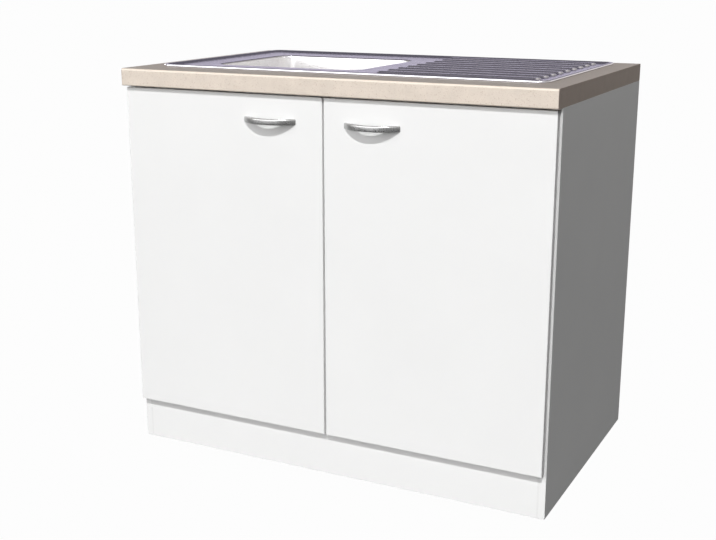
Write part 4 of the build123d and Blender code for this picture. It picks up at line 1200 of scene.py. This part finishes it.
class SINKUNIT_OT_strainer(Step):
    """Makes the basket strainer's body, its washer and its lock nut"""

    bl_idname = "sinkunit.strainer"
    bl_label = "Basket Strainer"

    def make(self, scene):
        low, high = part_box("waste_strainer_body")
        place = sink_place(scene, high.z)
        end = (low.z - high.z) / MM
        cup = end + 34
        profile = [
            (57.0, -1.15), (57.0, -0.8), (56.4, -0.25), (55.2, -0.05), (53.5, 0.0), (46.0, -0.1),
            (43.6, -0.35), (42.4, -1.1), (41.9, -2.2), (41.9, cup + 4.0), (41.3, cup + 2.4),
            (39.5, cup + 1.6), (23.0, cup + 1.6), (21.0, cup + 1.2), (20.4, cup), (20.4, end),
            (21.6, end),
        ]
        profile += threads(22.0, end + 0.3, end + 16.0, 2.4, 0.5)
        profile += [(21.6, end + 17.0), (21.6, cup - 0.6), (22.6, cup), (42.0, cup), (43.1, cup + 0.8)]
        profile += threads(43.5, cup + 20.0, -5.0, 2.6, 0.5)
        profile += [(43.3, -4.0), (43.3, -1.2)]
        made = Shape().turn(scaled(profile), place, 96, loop=True)
        stub_z = -31.2
        stub_end = (high.x - scene.sinkunit_sink.bowl_x) / MM
        stub = [(12.5, 42.0), (12.5, stub_end - 0.5), (12.2, stub_end), (10.3, stub_end), (10.2, 42.0)]
        level = place @ facing((0, 0, stub_z * MM), (1, 0, 0))
        made.turn(scaled(stub), level, 48, loop=True)
        made.detail("waste_strainer_body", "cabinet", "pressed_steel", "strainer_body")

        foot, thick, outer = upright("waste_washer")
        profile = [
            (43.6, 0.3), (43.9, 0.0), (outer - 0.5, 0.0), (outer, 0.5), (outer, thick - 0.5),
            (outer - 0.5, thick), (outer - 3.0, thick), (outer - 3.4, thick - 0.3),
            (outer - 5.0, thick - 0.3), (outer - 5.4, thick), (43.9, thick), (43.6, thick - 0.3),
        ]
        washer = Shape().turn(scaled(profile), sink_place(scene, foot), 96, loop=True)
        washer.detail("waste_washer", "cabinet", "seal_rubber")

        foot, tall, outer = upright("waste_lock_nut")
        profile = [
            (43.7, 0.6), (44.3, 0.0), (48.5, 0.0), (outer - 0.8, 0.9, "grip"),
            (outer, 1.8, "grip"), (outer, tall - 2.6, "grip"), (outer - 0.7, tall - 1.8, "grip"),
            (49.2, tall - 1.6), (49.2, tall - 0.5), (48.7, tall), (44.3, tall), (43.7, tall - 0.6),
        ]
        place = sink_place(scene, foot)
        nut = Shape().turn(scaled(profile), place, 160, lobes=8, lobe_depth=3.6 * MM, loop=True)
        nut.detail("waste_lock_nut", "cabinet", "white_polypropylene")


class SINKUNIT_OT_basket(Step):
    """Makes the lift-out basket with its knob and its rubber stopper"""

    bl_idname = "sinkunit.basket"
    bl_label = "Basket"

    def make(self, scene):
        sink = scene.sinkunit_sink
        low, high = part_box("strainer_basket")
        place = sink_place(scene, high.z)
        rim = (high.x - low.x) / 2 / MM
        end = (low.z - high.z) / MM
        profile = [
            (3.0, end), (3.0, -37.0), (4.0, -36.0), (36.4, -36.0), (38.0, -35.5), (38.8, -34.2),
            (39.0, -32.0), (rim - 0.9, -3.0), (rim - 0.1, -1.4), (rim, -0.6), (rim - 0.4, -0.1),
            (rim - 1.2, 0.0), (rim - 1.8, -0.4), (rim - 1.9, -3.0), (38.0, -32.0), (37.6, -34.0),
            (36.4, -35.1), (5.0, -35.2), (3.4, -34.6), (3.0, -33.0), (3.0, -13.0), (3.6, -11.6),
            (6.5, -11.0), (8.6, -10.3), (9.0, -9.4), (8.5, -8.7), (8.5, -8.1), (9.0, -7.5),
            (8.6, -6.5), (7.0, -6.05), (4.0, -6.0),
        ]
        made = Shape().turn(scaled(profile), place, 96, start=True, end=True)
        basket = made.detail("strainer_basket", "basket", "pressed_steel", "basket")
        cut(basket, slot_ring(12, 24, 17, -38.0, -34.0, place))

        foot, tall, wide = upright("basket_stopper")
        profile = [
            (4.0, 0.0), (wide - 2.5, 0.0), (wide - 0.6, 0.4), (wide, 1.1), (wide - 0.4, 1.7),
            (wide - 2.6, 2.2), (wide - 4.0, 2.8), (16.0, tall - 1.2), (12.0, tall - 0.2),
            (8.0, tall), (4.0, tall),
        ]
        stopper = Shape().turn(scaled(profile), sink_place(scene, foot), 72, start=True, end=True)
        stopper.detail("basket_stopper", "basket", "seal_rubber", "stopper")


class SINKUNIT_OT_overflow(Step):
    """Makes the overflow's cover, screw, socket and ribbed pipe"""

    bl_idname = "sinkunit.overflow"
    bl_label = "Overflow"

    def make(self, scene):
        sink = scene.sinkunit_sink
        place = overflow_place(sink)
        cover = [
            (2.15, 0.0), (19.0, 0.0), (19.0, 0.6), (18.5, 1.2), (17.0, 1.7), (14.5, 1.95),
            (5.6, 2.0), (4.9, 1.8), (2.15, 1.8),
        ]
        made = Shape().turn(scaled(cover), place, 96, loop=True)
        rose = made.detail("overflow_cover", "cabinet", "pressed_steel")
        cut(rose, slot_ring(6, 9.5, 7, -2.0, 4.0, place))
        screw = screw_shape(24.5 * MM, 2.0 * MM, 4.0 * MM, 1.6 * MM, pitch=0.8, pointed=False)
        seated = Shape().merge(screw, place @ Matrix.Translation((0, 0, 2 * MM)))
        seated.detail("overflow_screw", "cabinet", "zinc_plate")
        socket = [
            (14.0, -0.85), (19.5, -0.85), (20.0, -1.3), (20.0, -3.3), (19.5, -3.8), (17.6, -3.9),
            (17.0, -4.6), (17.0, -27.6), (16.2, -28.7), (3.0, -28.8), (0.6, -28.8), (0.6, -23.4),
            (2.1, -22.9), (2.1, -0.95), (4.5, -0.95), (4.5, -22.6), (14.0, -22.8),
        ]
        made = Shape().turn(scaled(socket), place, 72, loop=True)
        low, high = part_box("overflow_socket")
        pipe_low, pipe_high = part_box("overflow_pipe")
        pipe_x = pipe_high.x - 10 * MM
        spigot = [
            (10.15, 0.0), (12.2, 0.0), (12.5, 0.4), (12.5, 2.6), (12.0, 3.2), (12.0, 20.0),
            (10.15, 20.0),
        ]
        made.turn(scaled(spigot), Matrix.Translation((pipe_x, sink.bowl_y, low.z)), 48, loop=True)
        for step in range(4):
            turn = Matrix.Rotation(math.radians(45 + 90 * step), 4, "Z")
            at = Matrix.Translation((pipe_x, sink.bowl_y, low.z)) @ turn
            made.box((11.5 * MM, -0.6 * MM, 4 * MM), (13.4 * MM, 0.6 * MM, 15 * MM), at)
        made.detail("overflow_socket", "cabinet", "white_polypropylene")
        bend = 30 * MM
        run_z = pipe_low.z + 10 * MM
        path = [Vector((pipe_x, sink.bowl_y, pipe_high.z))]
        steps = int((pipe_high.z - run_z - bend) / MM)
        path += [Vector((pipe_x, sink.bowl_y, pipe_high.z - step * MM)) for step in range(1, steps)]
        for step in range(49):
            angle = step / 48 * math.pi / 2
            x = pipe_x - bend + bend * math.cos(angle)
            path.append(Vector((x, sink.bowl_y, run_z + bend - bend * math.sin(angle))))
        steps = int((pipe_x - bend - pipe_low.x) / MM)
        path += [Vector((pipe_x - bend - step * MM, sink.bowl_y, run_z)) for step in range(1, steps)]
        path.append(Vector((pipe_low.x, sink.bowl_y, run_z)))
        pipe = Shape().skin(ribbed_rings(path), start=True, end=True)
        pipe.detail("overflow_pipe", "cabinet", "white_polypropylene")


def ribbed_rings(path):
    """Rings of a ribbed pipe along a path; both ends stay plain."""
    rings = []
    gone = 0.0
    total = sum((after - before).length for before, after in zip(path, path[1:]))
    side = Vector((0, 1, 0))
    for index, spot in enumerate(path):
        before = path[max(0, index - 1)]
        after = path[min(len(path) - 1, index + 1)]
        up = (after - before).normalized().cross(side)
        if index:
            gone += (spot - before).length
        wave = 0.5 - 0.5 * math.cos(2 * math.pi * gone / (4.5 * MM))
        ribbed = min(gone, total - gone) > 15 * MM
        radius = (10.0 - (1.5 * wave if ribbed else 0.0)) * MM
        angles = [2 * math.pi * turn / 32 for turn in range(32)]
        rings.append(
            [tuple(spot + side * radius * math.cos(a) + up * radius * math.sin(a)) for a in angles]
        )
    return rings


class SINKUNIT_OT_trap(Step):
    """Makes the bottle trap with its cup, pipes and coupling nuts"""

    bl_idname = "sinkunit.trap"
    bl_label = "Bottle Trap"

    def make(self, scene):
        sink = scene.sinkunit_sink
        for name in ("trap_inlet_pipe", "trap_outlet_pipe"):
            coat(name, material("white_polypropylene"))
        low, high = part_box("trap_bottle")
        place = sink_place(scene, high.z)
        end = (low.z - high.z) / MM
        profile = [(18.1, -14.0), (18.1, -0.4), (18.5, 0.0), (22.4, 0.0)]
        profile += [(22.6 + ridge, -height) for ridge, height in ((0.3, 0.6), (0, 1.6), (0.4, 2.6))]
        profile += [(22.6, -3.6), (23.0, -4.6), (22.6, -5.6), (23.0, -6.6), (22.6, -7.6)]
        profile += [(22.8, -11.5), (23.6, -13.2), (26.0, -14.2), (29.5, -15.0), (33.0, -17.0)]
        profile += [(35.2, -20.0), (36.0, -24.0), (36.0, -78.0), (36.0, end + 26.0)]
        profile += [(35.4, end + 24.0), (35.6, end + 20.0), (35.6, end), (30.0, end)]
        made = Shape().turn(scaled(profile), place, 72, start=True, end=True)
        outlet_low, outlet_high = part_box("trap_outlet_pipe")
        outlet_z = (outlet_low.z + outlet_high.z) / 2
        reach = (high.y - sink.bowl_y) / MM
        side = facing((sink.bowl_x, sink.bowl_y, outlet_z), (0, 1, 0))
        spigot = [(27.0, 22.0), (25.5, 33.0), (24.0, 36.5), (23.0, 38.5)]
        spigot += threads(23.0, 40.0, reach - 0.6, 2.2, 0.5)
        spigot += [(22.6, reach), (18.3, reach), (18.1, reach - 0.4), (18.1, 30.0)]
        made.turn(scaled(spigot), side, 64, end=True)
        for step in range(8):
            turn = Matrix.Rotation(math.radians(22.5 + 45 * step), 4, "Z")
            made.box((35.4 * MM, -0.9 * MM, -72 * MM), (36.6 * MM, 0.9 * MM, -24 * MM), place @ turn)
        made.detail("trap_bottle", "cabinet", "white_polypropylene")

        foot, tall, _ = upright("trap_cleaning_cup")
        profile = [
            (28.0, 0.0), (31.0, 0.4), (32.6, 1.6), (36.5, 5.4, "grip"), (38.6, 7.4, "grip"),
            (39.0, 9.0, "grip"), (39.0, tall - 4.0, "grip"), (38.6, tall - 2.6, "grip"),
            (38.2, tall - 1.8), (38.2, tall - 0.4), (37.8, tall), (36.2, tall),
        ]
        place = sink_place(scene, foot)
        grips = {"lobes": 18, "lobe_depth": 1.5 * MM}
        cup = Shape().turn(scaled(profile), place, 180, **grips, start=True, end=True)
        cup.detail("trap_cleaning_cup", "cabinet", "white_polypropylene")

        for node, collar in (("trap_top_nut", 22.1), ("trap_coupling_nuts", 23.1)):
            made = Shape()
            for low, high in solids(node):
                size = high - low
                axis = min(range(3), key=lambda index: size[index])
                middle = (low + high) / 2
                direction = Vector((0, 0, 0))
                direction[axis] = -1 if node == "trap_top_nut" else 1
                tall = size[axis] / MM
                profile = [
                    (collar, 0.0), (25.8, 0.0), (26.6, 0.8, "grip"), (27.0, 2.2, "grip"),
                    (27.0, tall - 6.0, "grip"), (26.2, tall - 4.4, "grip"), (24.4, tall - 3.4),
                    (23.6, tall - 1.0), (22.8, tall), (20.1, tall), (20.1, tall - 4.0),
                    (collar, tall - 4.6),
                ]
                place = facing(middle - direction * size[axis] / 2, direction)
                made.turn(scaled(profile), place, 160, lobes=16, lobe_depth=1.3 * MM, loop=True)
            made.detail(node, "cabinet", "white_polypropylene")


class SINKUNIT_OT_stage(Step):
    """Sets up the floor, the lights and the camera"""

    bl_idname = "sinkunit.stage"
    bl_label = "Stage"

    def make(self, scene):
        stage = scene.sinkunit_stage
        floor = bpy.data.meshes.new("floor")
        corners = [(x * FLOOR_REACH, y * FLOOR_REACH, 0) for x, y in ((-1, -1), (1, -1), (1, 1), (-1, 1))]
        floor.from_pydata(corners, [], [(0, 1, 2, 3)])
        ground = bpy.data.objects.new("floor", floor)
        scene.collection.objects.link(ground)
        surface = Surface("studio_floor")
        path = surface.node("ShaderNodeLightPath").outputs
        glow = surface.node("ShaderNodeEmission", {"Color": (1, 1, 1, 1), "Strength": 1.0})
        grain = surface.span(surface.noise(3.0), 0.3, 0.7)
        paint = surface.blend(grain, shade(stage.floor, 0.98), stage.floor)
        matt = surface.node("ShaderNodeBsdfDiffuse", {"Color": paint})
        direct = surface.math("MAXIMUM", path["Is Camera Ray"], path["Is Transmission Ray"])
        share = surface.math("MULTIPLY", direct, 0.98)
        seen = surface.math("MULTIPLY", path["Is Glossy Ray"], 0.1)
        share = surface.math("MAXIMUM", share, seen)
        mixed = surface.switch(share, matt.outputs[0], glow.outputs[0])
        surface.feed(surface.output.inputs["Surface"], mixed)
        floor.materials.append(surface.material)

        world = bpy.data.worlds.new("studio")
        scene.world = world
        world.use_nodes = True
        room = Nodes(world.node_tree)
        path = room.node("ShaderNodeLightPath").outputs
        toward = room.node("ShaderNodeTexCoord").outputs["Generated"]
        split = room.node("ShaderNodeSeparateXYZ", {"Vector": toward}).outputs
        strip = room.span(split[1], -0.1, 0.1)
        for low, high, first, second in ((-0.75, -0.6, 0.0, 1.0), (-0.12, 0.1, 1.0, 0.0)):
            strip = room.math("MULTIPLY", strip, room.span(split[0], low, high, first, second))
        open_room = room.span(split[2], 0.75, 0.95, 0.5, 0.95)
        walls = room.span(strip, 0.0, 1.0, open_room, 0.16)
        horizon = room.span(split[2], 0.12, 0.26, stage.gloss_strength, 0.0)
        walls = room.math("ADD", walls, horizon)
        front = room.span(split[1], -0.1, -0.6, 0.0, 0.96)
        tint = room.blend(strip, stage.high_wall, stage.low_wall)
        tint = room.blend(front, tint, (1, 1, 1))
        shades = []
        for tone, strength in (
            ((1, 1, 1, 1), 1.0),
            (tint, room.math("MAXIMUM", walls, front)),
            ((1, 1, 1, 1), stage.room_strength),
        ):
            kind = {"Color": tone, "Strength": strength}
            shades.append(room.node("ShaderNodeBackground", kind).outputs[0])
        indirect = room.switch(path["Is Glossy Ray"], shades[2], shades[1])
        direct = room.math("MAXIMUM", path["Is Camera Ray"], path["Is Transmission Ray"])
        shown = room.switch(direct, indirect, shades[0])
        room.node("ShaderNodeOutputWorld", {"Surface": shown})

        for name, toward, strength, spread in (
            ("key", (0.22, -0.66, 0.74), stage.key_strength, 1.5),
            ("fill", (-0.5, -0.86, 0.04), stage.fill_strength, 80),
            ("back", (-0.78, 0.62, 0.03), stage.back_strength, 12),
        ):
            lamp = bpy.data.lights.new(name, "SUN")
            lamp.energy = strength
            lamp.angle = math.radians(spread)
            shown = bpy.data.objects.new(name, lamp)
            shown.matrix_world = facing(SUN_PLACE, toward)
            scene.collection.objects.link(shown)
        spot = bpy.data.lights.new("bowl_spot", "SPOT")
        spot.energy = stage.spot_power
        spot.spot_size = math.radians(26)
        spot.spot_blend = 0.6
        spot.shadow_soft_size = 0.08
        lit = bpy.data.objects.new("bowl_spot", spot)
        lit.matrix_world = facing((0.35, 0.02, 1.35), (0.72, 0.0, 0.48))
        scene.collection.objects.link(lit)

        view = bpy.data.cameras.new("camera")
        view.sensor_width = 36
        view.lens = LENS
        eye = bpy.data.objects.new("camera", view)
        eye.location = EYE
        eye.rotation_euler = (EYE_TILT, 0, EYE_TURN)
        scene.collection.objects.link(eye)
        scene.camera = eye
        scene.view_settings.view_transform = "Standard"


STEPS = [
    SINKUNIT_OT_materials,
    SINKUNIT_OT_boards,
    SINKUNIT_OT_doors,
    SINKUNIT_OT_worktop,
    SINKUNIT_OT_sink,
    SINKUNIT_OT_strainer,
    SINKUNIT_OT_basket,
    SINKUNIT_OT_overflow,
    SINKUNIT_OT_trap,
    SINKUNIT_OT_handles,
    SINKUNIT_OT_hinges,
    SINKUNIT_OT_screws,
    SINKUNIT_OT_fixings,
    SINKUNIT_OT_stage,
]
GROUPS = {
    "sinkunit_sink": SinkSettings,
    "sinkunit_cabinet": CabinetSettings,
    "sinkunit_hardware": HardwareSettings,
    "sinkunit_stage": StageSettings,
}


class SINKUNIT_PT_panel(bpy.types.Panel):
    """Lists the building steps in the sidebar"""

    bl_idname = "SINKUNIT_PT_panel"
    bl_label = "Sink Unit"
    bl_space_type = "VIEW_3D"
    bl_region_type = "UI"
    bl_category = "Sink Unit"

    def draw(self, context):
        for step in STEPS:
            self.layout.operator(step.bl_idname)


def register():
    for name, group in GROUPS.items():
        bpy.utils.register_class(group)
        setattr(bpy.types.Scene, name, bpy.props.PointerProperty(type=group))
    for step in STEPS:
        bpy.utils.register_class(step)
    bpy.utils.register_class(SINKUNIT_PT_panel)


def unregister():
    bpy.utils.unregister_class(SINKUNIT_PT_panel)
    for step in reversed(STEPS):
        bpy.utils.unregister_class(step)
    for name, group in GROUPS.items():
        delattr(bpy.types.Scene, name)
        bpy.utils.unregister_class(group)


def main():
    register()
    for step in STEPS:
        group, action = step.bl_idname.split(".")
        getattr(getattr(bpy.ops, group), action)()


if __name__ == "__main__":
    main()
